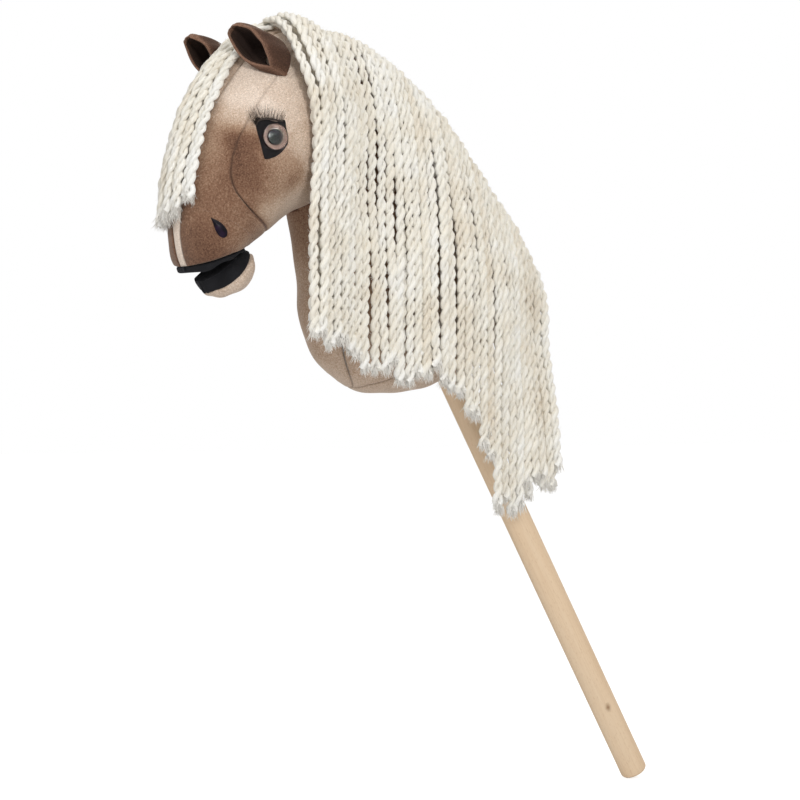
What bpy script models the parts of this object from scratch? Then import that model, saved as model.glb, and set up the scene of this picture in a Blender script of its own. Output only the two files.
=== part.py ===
"""A hobby horse: a stuffed velvet horse head and neck on a round wooden stick, with a yarn mane.

Metres, +Z up. The horse looks along -X, its left side faces -Y, and the yarn hangs straight down, so the
stick leans: its foot, the origin, is its lower end and its top reaches up and forward into the neck.
"""
import math

import bmesh
import bpy
from mathutils import Matrix, Vector
from mathutils.bvhtree import BVHTree

# The stick
STICK_RADIUS = 0.014
STICK_BARE = 0.480
STICK_INSIDE = 0.232
STICK_LEAN = math.radians(30.0)
STICK_ROUNDING = 0.004

# Clearance between touching pieces, what the flat facets of curved pieces add to it, and the cloth
GAP = 0.0003
EASE = 0.0006
FINE_EASE = 0.0002
FILLING_EASE = 0.0011
VELVET = 0.0014
FELT = 0.0012

# The pocket in the neck that holds the stick
POCKET_WALL = 0.0018
POCKET_FIT = 0.0004
TIE_WIDTH = 0.0048
TIE_THICKNESS = 0.0014
TIE_HEIGHT = 0.020
SCREW_HEIGHT = 0.060
SCREW_RADIUS = 0.0018
SCREW_LENGTH = 0.016
SCREW_HEAD_RADIUS = 0.0040
SCREW_HEAD_HEIGHT = 0.0022

# The neck, by sections square to the stick: height above its base, reach to the throat, reach to the crest
# and half width
NECK_SECTIONS = (
    (0.006, 0.022, 0.024, 0.020),
    (0.012, 0.046, 0.055, 0.036),
    (0.024, 0.075, 0.092, 0.050),
    (0.044, 0.104, 0.115, 0.058),
    (0.070, 0.120, 0.124, 0.060),
    (0.100, 0.127, 0.124, 0.060),
    (0.135, 0.119, 0.1185, 0.058),
    (0.170, 0.103, 0.1125, 0.054),
    (0.228, 0.083, 0.1015, 0.049),
    (0.285, 0.074, 0.080, 0.045),
    (0.325, 0.063, 0.055, 0.040),
    (0.352, 0.044, 0.029, 0.030),
    (0.364, 0.025, 0.010, 0.016),
)
BASE_SEAM_HEIGHT = 0.040
THROAT_GUSSET_HALF = 0.0275
THROAT_GUSSET_TOP = 0.294

# The head, by sections square to its own length from poll to lips: distance from the poll, reach to the
# face, reach to the jowl and half width
HEAD_PITCH = math.radians(23.6)
POLL_HEIGHT = 0.3675
POLL_FORWARD = 0.0115
HEAD_SECTIONS = (
    (-0.0085, 0.016, 0.018, 0.016),
    (0.000, 0.028, 0.034, 0.029),
    (0.014, 0.037, 0.058, 0.042),
    (0.035, 0.0455, 0.076, 0.052),
    (0.065, 0.055, 0.090, 0.060),
    (0.100, 0.060, 0.093, 0.063),
    (0.125, 0.0585, 0.083, 0.0605),
    (0.145, 0.056, 0.063, 0.055),
    (0.170, 0.052, 0.048, 0.048),
    (0.195, 0.044, 0.0335, 0.042),
    (0.215, 0.035, 0.022, 0.038),
    (0.232, 0.024, 0.012, 0.031),
    (0.2425, 0.013, 0.002, 0.018),
)
FACE_GUSSET_HALF = (0.022, 0.009)

# The mouth: its corner in the head's own frame, the slope of the upper lip and the black pad under it
MOUTH_CORNER = (0.2005, -0.027)
LIP_SLOPE = math.radians(17.0)
LIP_LAP = 0.008
PALATE_PAD = 0.0045
MOUTH_SLIT = 0.0025

# The lower jaw, by sections square to its length: distance from the hinge, upper and lower reach, half width
JAW_SLOPE = math.radians(24.5)
JAW_SECTIONS = (
    (-0.0085, -0.0010, 0.0100, 0.009),
    (-0.0020, 0.0015, 0.0190, 0.0185),
    (0.0080, 0.0020, 0.0270, 0.0250),
    (0.0200, 0.0020, 0.0295, 0.0265),
    (0.0310, 0.0020, 0.0285, 0.0240),
    (0.0395, 0.0010, 0.0245, 0.0175),
    (0.0445, -0.0020, 0.0190, 0.0100),
    (0.0462, -0.0060, 0.0140, 0.0035),
)
JAW_DROP = 0.0004
JAW_LINING_ANGLE = math.radians(118.0)
JAW_FLEX = (math.radians(-8.0), math.radians(4.0))

# The ears: where they are sewn on, how far the tips reach and how wide the cup is
EAR_ROOT = (0.039, 0.019, 0.046)
EAR_LENGTH = 0.068
EAR_RADIUS = 0.0170
EAR_TIP_RADIUS = 0.0050
EAR_OFFSET = 0.0035
EAR_BURIED = 0.12
EAR_WALL = 0.0024
EAR_LINING = 0.0009
EAR_LINING_SHARE = 0.91
EAR_WRAP = (math.radians(166.0), math.radians(80.0))
EAR_FORWARD = Vector((-0.860, -0.10, 0.50))
EAR_OPENING = Vector((-0.515, 0.34, -0.857))
EAR_FLEX = (math.radians(-8.0), math.radians(10.0))

# The eyes: place on the head, size of the iris disc, dome, shank and washer
EYE_ALONG = 0.1094
EYE_FORWARD = 0.008
EYE_TURN = math.radians(12.0)
EYE_RADIUS = 0.012
EYE_RIM = 0.0022
DOME_HEIGHT = 0.0055
PUPIL_RADIUS = 0.0072
PUPIL_STEP = 0.0008
SHANK_RADIUS = 0.0026
SHANK_LENGTH = 0.015
WASHER_RADIUS = 0.009
WASHER_THICKNESS = 0.0016
PATCH_OUTLINE = (
    (-0.0157, 0.0077), (-0.0124, -0.0063), (-0.0083, -0.0203), (0.0016, -0.0179), (0.0085, -0.0128),
    (0.0137, -0.0055), (0.0142, 0.0018), (0.0125, 0.0096), (0.0115, 0.0165), (0.0036, 0.0146),
    (-0.0153, 0.0174),
)
LASH_COUNT = 13
LASH_LENGTH = 0.013
LASH_ROOT = 0.0012
LASH_STRIP = ((-0.0140, 0.0150), (0.0080, 0.0138))

# The nostrils: place on the muzzle and size of the teardrop
NOSTRIL_ALONG = 0.2030
NOSTRIL_FORWARD = 0.0145
NOSTRIL_LENGTH = 0.0205
NOSTRIL_WIDTH = 0.0105
NOSTRIL_TURN = math.radians(28.0)
NOSTRIL_TILT = math.radians(34.0)

# The mane: its tape in the crest seam and the hanging yarn, as locks side by side that reach past the poll and
# past the neck's base and end at their own heights above the neck's base
TAPE_WIDTH = 0.014
TAPE_THICKNESS = 0.0012
TAPE_LOW = 0.115
TAPE_HIGH = 0.315
YARN_THICKNESS = 0.0095
YARN_LIFT = 0.0028
STEEPEST = 0.45
YARN_DRIFT = 0.056
YARN_DRIFT_FALL = 0.24
MANE_PAST_POLL = 0.015
MANE_PAST_BASE = 0.089
MANE_OVERHANG = (0.004, 0.020)
OVERHANG_FALL = 1.6
LOCK_ENDS = ((0.025, 0.024), (0.021, 0.001), (-0.003, -0.010), (-0.032, -0.052), (-0.137, -0.138),
             (-0.126, -0.108))
LOCK_GAP = 0.0008

# The forelock: its half width at the poll and at the nose, and how far down the face it reaches
FORELOCK_START = 0.024
FORELOCK_END = 0.205
FORELOCK_LEFT = (0.0165, 0.024)
FORELOCK_RIGHT = (0.0165, 0.028)

# How the panels are cut: the share of a shape they start and end at, the lap left at a cross seam, and the
# rise of a shape's end dome as a share of its width
PANEL_SHARES = (0.03, 0.985)
SEAM_LAP = 0.004
DOME_RISE = 0.12

# How finely the soft shapes are divided, how finely a skin that others are fitted to, and a reach past the
# whole object for cutting boxes
AROUND = 28
FINE_AROUND = 56
FINE_RINGS = 40
WIDE_REACH = STICK_INSIDE + EAR_LENGTH

LEFT = -1.0
RIGHT = 1.0
SIDES = (("left", LEFT), ("right", RIGHT))

STICK_AXIS = Vector((-math.sin(STICK_LEAN), 0.0, math.cos(STICK_LEAN)))
STICK_BACK = Vector((math.cos(STICK_LEAN), 0.0, math.sin(STICK_LEAN)))
HEAD_AXIS = Vector((-math.sin(HEAD_PITCH), 0.0, -math.cos(HEAD_PITCH)))
HEAD_FORWARD = Vector((-math.cos(HEAD_PITCH), 0.0, math.sin(HEAD_PITCH)))
SKIN = GAP + VELVET
OVER_SKIN = SKIN + GAP + EASE
NEAR_SKIN = SKIN + GAP + FINE_EASE


def on_stick(height, back=0.0):
    """A point of the stick's own frame: height along it from the foot, and distance towards the crest."""
    return STICK_AXIS * height + STICK_BACK * back


NECK_BASE = on_stick(STICK_BARE)
POLL = on_stick(STICK_BARE + POLL_HEIGHT, -POLL_FORWARD)

# The mane's ends and the level of its lower ends, set out from the poll and the base to the nearest millimetre
MANE_FRONT = round(POLL.x, 3) - MANE_PAST_POLL
MANE_BACK = round(NECK_BASE.x, 3) + MANE_PAST_BASE
BASE_LEVEL = round(NECK_BASE.z, 3)


def clear_scene():
    for obj in list(bpy.data.objects):
        bpy.data.objects.remove(obj, do_unlink=True)


def material(name, color, roughness, metallic=0.0, alpha=1.0):
    """A plain Principled material, made once and shared by the pieces that name it."""
    found = bpy.data.materials.get(name)
    if found:
        return found
    made = bpy.data.materials.new(name)
    made.use_nodes = True
    shader = made.node_tree.nodes["Principled BSDF"]
    shader.inputs["Base Color"].default_value = (*color, 1.0)
    shader.inputs["Roughness"].default_value = roughness
    shader.inputs["Metallic"].default_value = metallic
    shader.inputs["Alpha"].default_value = alpha
    return made


def finish_mesh(name, bm, look, smooth=True):
    """Turns a bmesh into a named object with its faces pointing out."""
    bmesh.ops.remove_doubles(bm, verts=bm.verts, dist=0.000001)
    bmesh.ops.recalc_face_normals(bm, faces=bm.faces)
    mesh = bpy.data.meshes.new(name)
    bm.to_mesh(mesh)
    bm.free()
    obj = bpy.data.objects.new(name, mesh)
    bpy.context.scene.collection.objects.link(obj)
    if look:
        mesh.materials.append(look)
    if smooth:
        mesh.shade_smooth()
        mesh.set_sharp_from_angle(angle=math.radians(40.0))
    return obj


def as_cutter(obj):
    obj.hide_render = True
    obj.display_type = "WIRE"
    return obj


def cut(obj, cutter, operation="DIFFERENCE"):
    """Cuts one piece by another with an exact Boolean."""
    modifier = obj.modifiers.new("cut by " + cutter.name, "BOOLEAN")
    modifier.operation = operation
    modifier.solver = "EXACT"
    modifier.object = cutter
    return obj


class SoftForm:
    """A stuffed shape: oval sections along a straight axis, closed at both ends by a low dome."""

    def __init__(self, origin, axis, forward, sections):
        self.origin = origin
        self.axis = axis
        self.forward = forward
        self.side = Vector((0.0, LEFT, 0.0))
        self.sections = sections

    def section(self, share):
        """Along, forward reach, back reach and half width at a share of the way, on one smooth curve."""
        last = len(self.sections) - 1
        place = min(max(share, 0.0), 1.0) * last
        index = min(int(place), last - 1)
        t = place - index
        p1, p2 = self.sections[index], self.sections[index + 1]
        p0 = self.sections[index - 1] if index > 0 else p1
        p3 = self.sections[index + 2] if index + 2 <= last else p2
        return [catmull_rom(a, b, c, d, t) for a, b, c, d in zip(p0, p1, p2, p3)]

    def share_at(self, along):
        """The share of the way at which the sections reach a distance along the axis."""
        low, high = 0.0, 1.0
        for _ in range(30):
            middle = (low + high) / 2.0
            if self.section(middle)[0] < along:
                low = middle
            else:
                high = middle
        return (low + high) / 2.0

    def flat_point(self, share, angle):
        along, front, back, half = self.section(share)
        depth = (front + back) / 2.0
        centre = (front - back) / 2.0
        return (self.origin + self.axis * along + self.forward * (centre + depth * math.cos(angle))
                + self.side * (half * math.sin(angle)))

    def point(self, share, angle, proud=0.0):
        """A surface point, moved out by proud along the surface's own normal."""
        here = self.flat_point(share, angle)
        step = 0.004
        along = self.flat_point(share + step, angle) - self.flat_point(share - step, angle)
        across = self.flat_point(share, angle + step) - self.flat_point(share, angle - step)
        normal = along.cross(across).normalized()
        if normal.dot(here - self.centre(share)) < 0.0:
            normal = -normal
        return here + normal * proud

    def centre(self, share):
        along, front, back, _ = self.section(share)
        return self.origin + self.axis * along + self.forward * ((front - back) / 2.0)

    def pole(self, share, proud):
        """The middle of an end dome."""
        sign = -1.0 if share < 0.5 else 1.0
        rise = DOME_RISE * self.section(share)[3]
        return self.centre(share) + self.axis * (sign * (proud + rise))


def catmull_rom(a, b, c, d, t):
    return 0.5 * (2.0 * b + (c - a) * t + (2.0 * a - 5.0 * b + 4.0 * c - d) * t * t
                  + (3.0 * b - a - 3.0 * c + d) * t ** 3)


def ring_of(bm, points):
    return [bm.verts.new(p) for p in points]


def join_rings(bm, first, second, closed=True):
    count = len(first)
    for i in range(count if closed else count - 1):
        j = (i + 1) % count
        bm.faces.new((first[i], first[j], second[j], second[i]))


def fan(bm, ring, pole):
    for i, vert in enumerate(ring):
        bm.faces.new((vert, ring[(i + 1) % len(ring)], pole))


def form_body(name, form, proud, rings, look, around=AROUND):
    """The whole stuffed shape as one closed body."""
    bm = bmesh.new()
    loops = []
    for i in range(rings + 1):
        share = i / rings
        angles = [2.0 * math.pi * j / around for j in range(around)]
        loops.append(ring_of(bm, [form.point(share, a, proud) for a in angles]))
    for first, second in zip(loops, loops[1:]):
        join_rings(bm, first, second)
    fan(bm, loops[0], bm.verts.new(form.pole(0.0, proud)))
    fan(bm, loops[-1], bm.verts.new(form.pole(1.0, proud)))
    return finish_mesh(name, bm, look)


def slab(name, inner, outer, look):
    """A closed slab between two grids of points of the same size."""
    bm = bmesh.new()
    grids = [[ring_of(bm, row) for row in grid] for grid in (inner, outer)]
    for grid in grids:
        for first, second in zip(grid, grid[1:]):
            join_rings(bm, first, second, closed=False)
    near, far = grids
    for a, b in ((near[0], far[0]), (near[-1], far[-1])):
        join_rings(bm, a, b, closed=False)
    for column in (0, -1):
        join_rings(bm, [row[column] for row in near], [row[column] for row in far], closed=False)
    return finish_mesh(name, bm, look)


def form_patch(name, form, shares, edges, proud, look, rings, across):
    """A sewn panel: a patch of a stuffed shape with its thickness, between two edge angles at each share."""
    grids = []
    for height in proud:
        grid = []
        for i in range(rings + 1):
            share = shares[0] + (shares[1] - shares[0]) * i / rings
            start, end = edges(share)
            grid.append([form.point(share, start + (end - start) * j / across, height)
                         for j in range(across + 1)])
        grids.append(grid)
    return slab(name, grids[0], grids[1], look)


def form_collar(name, form, shares, proud, look, rings):
    """A sewn panel that goes all the way round a stuffed shape, open at both ends."""
    bm = bmesh.new()
    loops = []
    heights = [(shares[0] + (shares[1] - shares[0]) * i / rings, proud[0]) for i in range(rings + 1)]
    heights += [(share, proud[1]) for share, _ in reversed(heights)]
    for share, height in heights:
        angles = [2.0 * math.pi * j / AROUND for j in range(AROUND)]
        loops.append(ring_of(bm, [form.point(share, a, height) for a in angles]))
    for first, second in zip(loops, loops[1:] + loops[:1]):
        join_rings(bm, first, second)
    return finish_mesh(name, bm, look)


def angle_for(form, share, half):
    """The angle from the front at which a section is half wide."""
    widest = form.section(share)[3]
    return math.asin(min(half / widest, 0.92))


def turned(name, profile, place, axis, look, around=24):
    """A closed turned solid: (radius, height) points from one end of its axis to the other."""
    bm = bmesh.new()
    frame = axis.to_track_quat("Z", "Y").to_matrix().to_4x4()
    frame.translation = place
    loops = []
    for radius, height in profile:
        if radius <= 0.0:
            loops.append(bm.verts.new(frame @ Vector((0.0, 0.0, height))))
            continue
        angles = [2.0 * math.pi * j / around for j in range(around)]
        loops.append(ring_of(bm, [frame @ Vector((radius * math.cos(a), radius * math.sin(a), height))
                                  for a in angles]))
    for first, second in zip(loops, loops[1:]):
        if isinstance(first, list) and isinstance(second, list):
            join_rings(bm, first, second)
        elif isinstance(first, list):
            fan(bm, first, second)
        elif isinstance(second, list):
            fan(bm, second, first)
    return finish_mesh(name, bm, look)


def tube(name, inner, outer, low, high, place, axis, look):
    """A plain closed tube with flat ends."""
    profile = ((inner, low), (outer, low), (outer, high), (inner, high), (inner, low))
    return turned(name, profile, place, axis, look)


def build_stick(looks):
    """The dowel, with its edges eased at both ends and a flat face at the foot."""
    length = STICK_BARE + STICK_INSIDE
    eased = STICK_ROUNDING
    profile = [(0.0, 0.0)]
    for step in range(4):
        turn = math.pi / 2.0 * step / 3.0
        profile.append((STICK_RADIUS - eased + eased * math.sin(turn), eased - eased * math.cos(turn)))
    for step in range(4):
        turn = math.pi / 2.0 * step / 3.0
        profile.append((STICK_RADIUS - eased + eased * math.cos(turn),
                        length - eased + eased * math.sin(turn)))
    profile.append((0.0, length))
    turned("stick", profile, Vector(), STICK_AXIS, looks["wood"], around=24)


def build_pocket(looks):
    """The closed tube in the neck, the tie round its mouth and the screw through it into the stick."""
    inner = STICK_RADIUS + POCKET_FIT
    outer = inner + POCKET_WALL
    mouth = STICK_BARE + BASE_SEAM_HEIGHT * 0.1
    top = STICK_BARE + STICK_INSIDE
    profile = ((0.0, top + POCKET_FIT), (inner, top + POCKET_FIT), (inner, mouth), (outer, mouth),
               (outer, top + POCKET_FIT + POCKET_WALL), (0.0, top + POCKET_FIT + POCKET_WALL))
    pocket = turned("stick_pocket", profile, Vector(), STICK_AXIS, looks["lining"], around=24)
    low = STICK_BARE + TIE_HEIGHT
    tube("pocket_tie", outer + GAP, outer + GAP + TIE_THICKNESS, low, low + TIE_WIDTH,
         Vector(), STICK_AXIS, looks["tie"])
    build_screw(outer, pocket, looks)


def build_screw(outer, pocket, looks):
    """A countersunk screw, driven from the left side through the pocket into the stick."""
    place = on_stick(STICK_BARE + SCREW_HEIGHT)
    out = Vector((0.0, LEFT, 0.0))
    face = outer + GAP
    tip = face - SCREW_LENGTH
    profile = ((0.0, tip), (SCREW_RADIUS, tip + SCREW_RADIUS * 2.0), (SCREW_RADIUS, face),
               (SCREW_HEAD_RADIUS, face), (SCREW_HEAD_RADIUS, face + SCREW_HEAD_HEIGHT),
               (0.0, face + SCREW_HEAD_HEIGHT))
    turned("pocket_screw", profile, place, out, looks["steel"], around=16)
    hole = [(0.0, tip - GAP), (SCREW_RADIUS + GAP, tip + SCREW_RADIUS * 2.0 - GAP),
            (SCREW_RADIUS + GAP, face + SCREW_HEAD_HEIGHT), (0.0, face + SCREW_HEAD_HEIGHT)]
    drill = as_cutter(turned("cut_screw_hole", hole, place, out, None, around=16))
    cut(pocket, drill)
    cut(bpy.data.objects["stick"], drill)
    room = [(0.0, face - GAP), (SCREW_HEAD_RADIUS + GAP, face - GAP),
            (SCREW_HEAD_RADIUS + GAP, face + SCREW_HEAD_HEIGHT + GAP), (0.0, face + SCREW_HEAD_HEIGHT + GAP)]
    as_cutter(turned("cut_screw_room", room, place, out, None, around=16))


def pocket_room(name):
    """The hollow that the stuffing leaves for the pocket, its tie and the stick."""
    outer = STICK_RADIUS + POCKET_FIT + POCKET_WALL + GAP
    tie_radius = outer + TIE_THICKNESS + GAP
    tie_low = STICK_BARE + TIE_HEIGHT - GAP
    tie_high = tie_low + TIE_WIDTH + 2.0 * GAP
    top = STICK_BARE + STICK_INSIDE + POCKET_FIT + POCKET_WALL + GAP
    profile = ((0.0, STICK_BARE - BASE_SEAM_HEIGHT), (outer, STICK_BARE - BASE_SEAM_HEIGHT), (outer, tie_low),
               (tie_radius, tie_low), (tie_radius, tie_high), (outer, tie_high), (outer, top), (0.0, top))
    return as_cutter(turned(name, profile, Vector(), STICK_AXIS, None, around=24))


def build_neck(neck, head_room, looks):
    """The neck's filling and its sewn panels, cut to the head and to the stick's pocket."""
    room = pocket_room("cut_pocket_room")
    stuffing = form_body("neck_stuffing", neck, -FILLING_EASE, 15, looks["filling"], 26)
    cut(stuffing, head_room)
    cut(stuffing, room)
    cut(stuffing, bpy.data.objects["cut_screw_room"])

    seam = neck.share_at(BASE_SEAM_HEIGHT)

    def gusset_edge(share):
        return angle_for(neck, share, THROAT_GUSSET_HALF)

    def seam_gap(share):
        return GAP / neck.section(share)[3]

    throat = form_patch("throat_gusset", neck, (seam + SEAM_LAP, neck.share_at(THROAT_GUSSET_TOP)),
                        lambda share: (-gusset_edge(share), gusset_edge(share)),
                        (GAP, SKIN), looks["taupe"], 12, 5)
    cut(throat, head_room)
    for word, side in SIDES:
        turn = -side
        panel = form_patch("neck_side_" + word, neck, (seam + SEAM_LAP, PANEL_SHARES[1]),
                           lambda share: (turn * (gusset_edge(share) + 2.0 * seam_gap(share)),
                                          turn * (math.pi - seam_gap(share))),
                           (GAP, SKIN), looks["brown"], 13, 10)
        cut(panel, head_room)
    base = form_collar("neck_base_panel", neck, (0.0, seam - SEAM_LAP), (GAP, SKIN), looks["taupe"], 4)
    cut(base, room)


def mouth_frame(head):
    """The mouth's corner in the world, the direction of the lip towards the front and its upper normal."""
    corner = head.origin + head.axis * MOUTH_CORNER[0] + head.forward * MOUTH_CORNER[1]
    lip = Vector((-math.cos(LIP_SLOPE), 0.0, -math.sin(LIP_SLOPE)))
    up = Vector((-math.sin(LIP_SLOPE), 0.0, math.cos(LIP_SLOPE)))
    return corner, lip, up


def box_in_frame(name, corner, lip, up, low, high):
    """A closed box in the mouth's frame: along the lip, across the mouth and up from the lip."""
    bm = bmesh.new()
    bmesh.ops.create_cube(bm, size=1.0)
    for vert in bm.verts:
        a, b, c = (low[i] + (high[i] - low[i]) * (vert.co[i] + 0.5) for i in range(3))
        vert.co = corner + lip * a + Vector((0.0, b, 0.0)) + up * c
    return as_cutter(finish_mesh(name, bm, None, smooth=False))


def build_head(head, looks):
    """The head's filling, its sewn panels and the black pad of the upper mouth."""
    corner, lip, up = mouth_frame(head)
    reach = HEAD_SECTIONS[-1][0]
    half = WIDE_REACH
    below = box_in_frame("cut_below_lip", corner, lip, up, (-LIP_LAP, -half, -half), (reach, half, 0.0))
    stuffing = form_body("head_stuffing", head, -FILLING_EASE, 16, looks["filling"], 26)
    cut(stuffing, below)

    def gusset_edge(share):
        wide, narrow = FACE_GUSSET_HALF
        ease = min(max((share - 0.35) / 0.5, 0.0), 1.0)
        return angle_for(head, share, wide + (narrow - wide) * ease)

    def seam_gap(share):
        return GAP / head.section(share)[3]

    gusset = form_patch("face_gusset", head, PANEL_SHARES,
                        lambda share: (-gusset_edge(share), gusset_edge(share)),
                        (GAP, SKIN), looks["beige"], 18, 4)
    cut(gusset, below)
    panels = []
    for word, side in SIDES:
        turn = -side
        panel = form_patch("head_side_" + word, head, PANEL_SHARES,
                           lambda share: (turn * (gusset_edge(share) + 2.0 * seam_gap(share)),
                                          turn * (math.pi - seam_gap(share))),
                           (GAP, SKIN), looks["brown"], 18, 10)
        cut(panel, below)
        panels.append(panel)

    pad_room = box_in_frame("keep_palate", corner, lip, up, (0.002, -half, -PALATE_PAD),
                            (reach, half, -GAP))
    pad = form_body("palate_lining", head, SKIN, 18, looks["black"])
    cut(pad, pad_room, "INTERSECT")
    return stuffing, panels


def surface_tree(objects):
    """A search tree over the outer surfaces of whole stuffed shapes."""
    verts = []
    faces = []
    for obj in objects:
        start = len(verts)
        verts += [v.co.copy() for v in obj.data.vertices]
        faces += [[start + i for i in face.vertices] for face in obj.data.polygons]
    return BVHTree.FromPolygons(verts, faces)


def draped_disc(name, tree, place, normal, outline, clearance, thickness, look, rings=4, hole=0.0):
    """A flat cut piece laid on a stuffed surface, its outline given across the normal."""
    right, up = tangent_frame(normal)
    centre = [sum(p[i] for p in outline) / len(outline) for i in range(2)] if not hole else (0.0, 0.0)
    bm = bmesh.new()

    def laid(a, b, height):
        start = place + right * a + up * b + normal * 0.03
        hit = tree.ray_cast(start, -normal)[0]
        if hit is None:
            hit = place + right * a + up * b
        return hit + normal * (clearance + height)

    layers = []
    for height in (0.0, thickness):
        loops = []
        for step in range(rings + 1):
            share = step / rings
            loop = []
            for point in outline:
                if hole:
                    angle = math.atan2(point[1], point[0])
                    inner = (hole * math.cos(angle), hole * math.sin(angle))
                else:
                    inner = centre
                loop.append([inner[k] + (point[k] - inner[k]) * share for k in range(2)])
            if step == 0 and not hole:
                loops.append([bm.verts.new(laid(centre[0], centre[1], height))])
                continue
            loops.append(ring_of(bm, [laid(a, b, height) for a, b in loop]))
        for first, second in zip(loops, loops[1:]):
            if len(first) == 1:
                fan(bm, second, first[0])
            else:
                join_rings(bm, first, second)
        layers.append(loops)
    join_rings(bm, layers[0][-1], layers[1][-1])
    if hole:
        join_rings(bm, layers[0][0], layers[1][0])
    return finish_mesh(name, bm, look)


def tangent_frame(normal):
    """Right (away from the face) and up, across a side normal."""
    up = Vector((0.0, 0.0, 1.0))
    right = Vector((1.0, 0.0, 0.0))
    right = (right - normal * right.dot(normal)).normalized()
    up = normal.cross(right)
    if up.z < 0.0:
        up = -up
    return right, up.normalized()


def smooth_outline(points, steps):
    """A closed curve through the points, with a few steps between each pair."""
    made = []
    count = len(points)
    for i in range(count):
        p0, p1, p2, p3 = (points[(i + k) % count] for k in (-1, 0, 1, 2))
        for step in range(steps):
            t = step / steps
            made.append(tuple(p1[k] + (p2[k] - p1[k]) * t
                              + 0.35 * (catmull_rom(p0[k], p1[k], p2[k], p3[k], t)
                                        - p1[k] - (p2[k] - p1[k]) * t) for k in range(2)))
    return made


def eye_place(head, side):
    """Where an eye's middle lies on the skin, and the way it looks."""
    share = head.share_at(EYE_ALONG)
    _, front, back, _ = head.section(share)
    centre = (front - back) / 2.0
    angle = math.acos((EYE_FORWARD - centre) / ((front + back) / 2.0))
    point = head.point(share, angle, OVER_SKIN)
    normal = Vector((-math.sin(EYE_TURN), side * math.cos(EYE_TURN), 0.0))
    return Vector((point.x, side * abs(point.y), point.z)), normal


def build_eye(word, side, head, tree, stuffing, panel, looks):
    """One eye: felt patch, iris disc with pupil and shank, clear dome, washer and lashes."""
    place, normal = eye_place(head, side)
    outline = smooth_outline(PATCH_OUTLINE, 2)
    hole = SHANK_RADIUS + GAP
    patch = draped_disc("eye_patch_" + word, tree, place, normal, outline, GAP, FELT, looks["black"], 4, hole)
    top = max((v.co - place).dot(normal) for v in patch.data.vertices
              if (v.co - place - normal * (v.co - place).dot(normal)).length < EYE_RADIUS)
    seat = place + normal * (top + GAP)
    profile = ((0.0, -SHANK_LENGTH), (SHANK_RADIUS * 0.7, -SHANK_LENGTH), (SHANK_RADIUS, -SHANK_LENGTH * 0.9),
               (SHANK_RADIUS, 0.0), (EYE_RADIUS, 0.0), (EYE_RADIUS, EYE_RIM), (PUPIL_RADIUS, EYE_RIM),
               (PUPIL_RADIUS, EYE_RIM + PUPIL_STEP), (0.0, EYE_RIM + PUPIL_STEP))
    turned("eye_iris_" + word, profile, seat, normal, looks["iris"], around=20)
    dome = []
    for step in range(5):
        turn = math.pi / 2.0 * step / 4.0
        dome.append((EYE_RADIUS * math.cos(turn), EYE_RIM + GAP + DOME_HEIGHT * math.sin(turn)))
    dome[-1] = (0.0, EYE_RIM + GAP + DOME_HEIGHT)
    inner = PUPIL_RADIUS + GAP
    dome += [(0.0, EYE_RIM + PUPIL_STEP + GAP), (inner, EYE_RIM + PUPIL_STEP + GAP), (inner, EYE_RIM + GAP)]
    dome.append(dome[0])
    turned("eye_dome_" + word, dome, seat, normal, looks["clear"], around=20)

    under_skin = -(top + GAP) - OVER_SKIN - 3.0 * EASE
    back = under_skin - WASHER_THICKNESS * 1.5
    washer = ((hole, back), (WASHER_RADIUS, back + WASHER_THICKNESS * 0.25),
              (WASHER_RADIUS, under_skin - EASE), (hole, under_skin), (hole, back))
    turned("eye_washer_" + word, washer, seat, normal, looks["plastic"], around=16)
    deep = -SHANK_LENGTH - GAP
    bore = ((0.0, deep), (hole, deep), (hole, SHANK_LENGTH), (0.0, SHANK_LENGTH))
    cut(panel, as_cutter(turned("cut_shank_" + word, bore, seat, normal, None, around=12)))
    wide = WASHER_RADIUS + GAP
    room = ((0.0, deep), (hole, deep), (hole, back - GAP), (wide, back - GAP), (wide, SHANK_LENGTH),
            (0.0, SHANK_LENGTH))
    cut(stuffing, as_cutter(turned("cut_washer_" + word, room, seat, normal, None, around=16)))
    build_lashes(word, tree, seat, normal, looks)


def build_lashes(word, tree, seat, normal, looks):
    """A strip along the patch's upper edge with bristles that stand up, out and forward."""
    right, up = tangent_frame(normal)
    start, end = LASH_STRIP
    bm = bmesh.new()
    base = []
    strip_half = LASH_ROOT
    for index in range(LASH_COUNT):
        share = index / (LASH_COUNT - 1)
        a = start[0] + (end[0] - start[0]) * share
        b = start[1] + (end[1] - start[1]) * share + 0.0012 * math.sin(math.pi * share)
        hit = tree.ray_cast(seat + right * a + up * b + normal * EYE_RADIUS, -normal)[0]
        base.append(hit + normal * (FELT + 2.0 * GAP))
    lift = normal * (strip_half * 2.0)
    rows = [[p - up * strip_half for p in base], [p + up * strip_half for p in base],
            [p + up * strip_half + lift for p in base], [p - up * strip_half + lift for p in base]]
    loops = [[bm.verts.new(row[i]) for row in rows] for i in range(LASH_COUNT)]
    for index in range(LASH_COUNT - 1):
        first, second = loops[index], loops[index + 1]
        for k in (0, 1, 3):
            bm.faces.new((first[k], first[(k + 1) % 4], second[(k + 1) % 4], second[k]))
        share = (index + 0.5) / (LASH_COUNT - 1)
        sweep = (up * 0.75 - right * (0.75 - 0.7 * share) + normal * 0.55).normalized()
        middle = (first[2].co + first[3].co + second[2].co + second[3].co) / 4.0
        tip = bm.verts.new(middle + sweep * LASH_LENGTH * (1.0 - 0.35 * share))
        top = (first[2], first[3], second[3], second[2])
        for k in range(4):
            bm.faces.new((top[k], top[(k + 1) % 4], tip))
    bm.faces.new(loops[0])
    bm.faces.new(loops[-1])
    finish_mesh("eyelash_" + word, bm, looks["black"], smooth=False)


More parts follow.
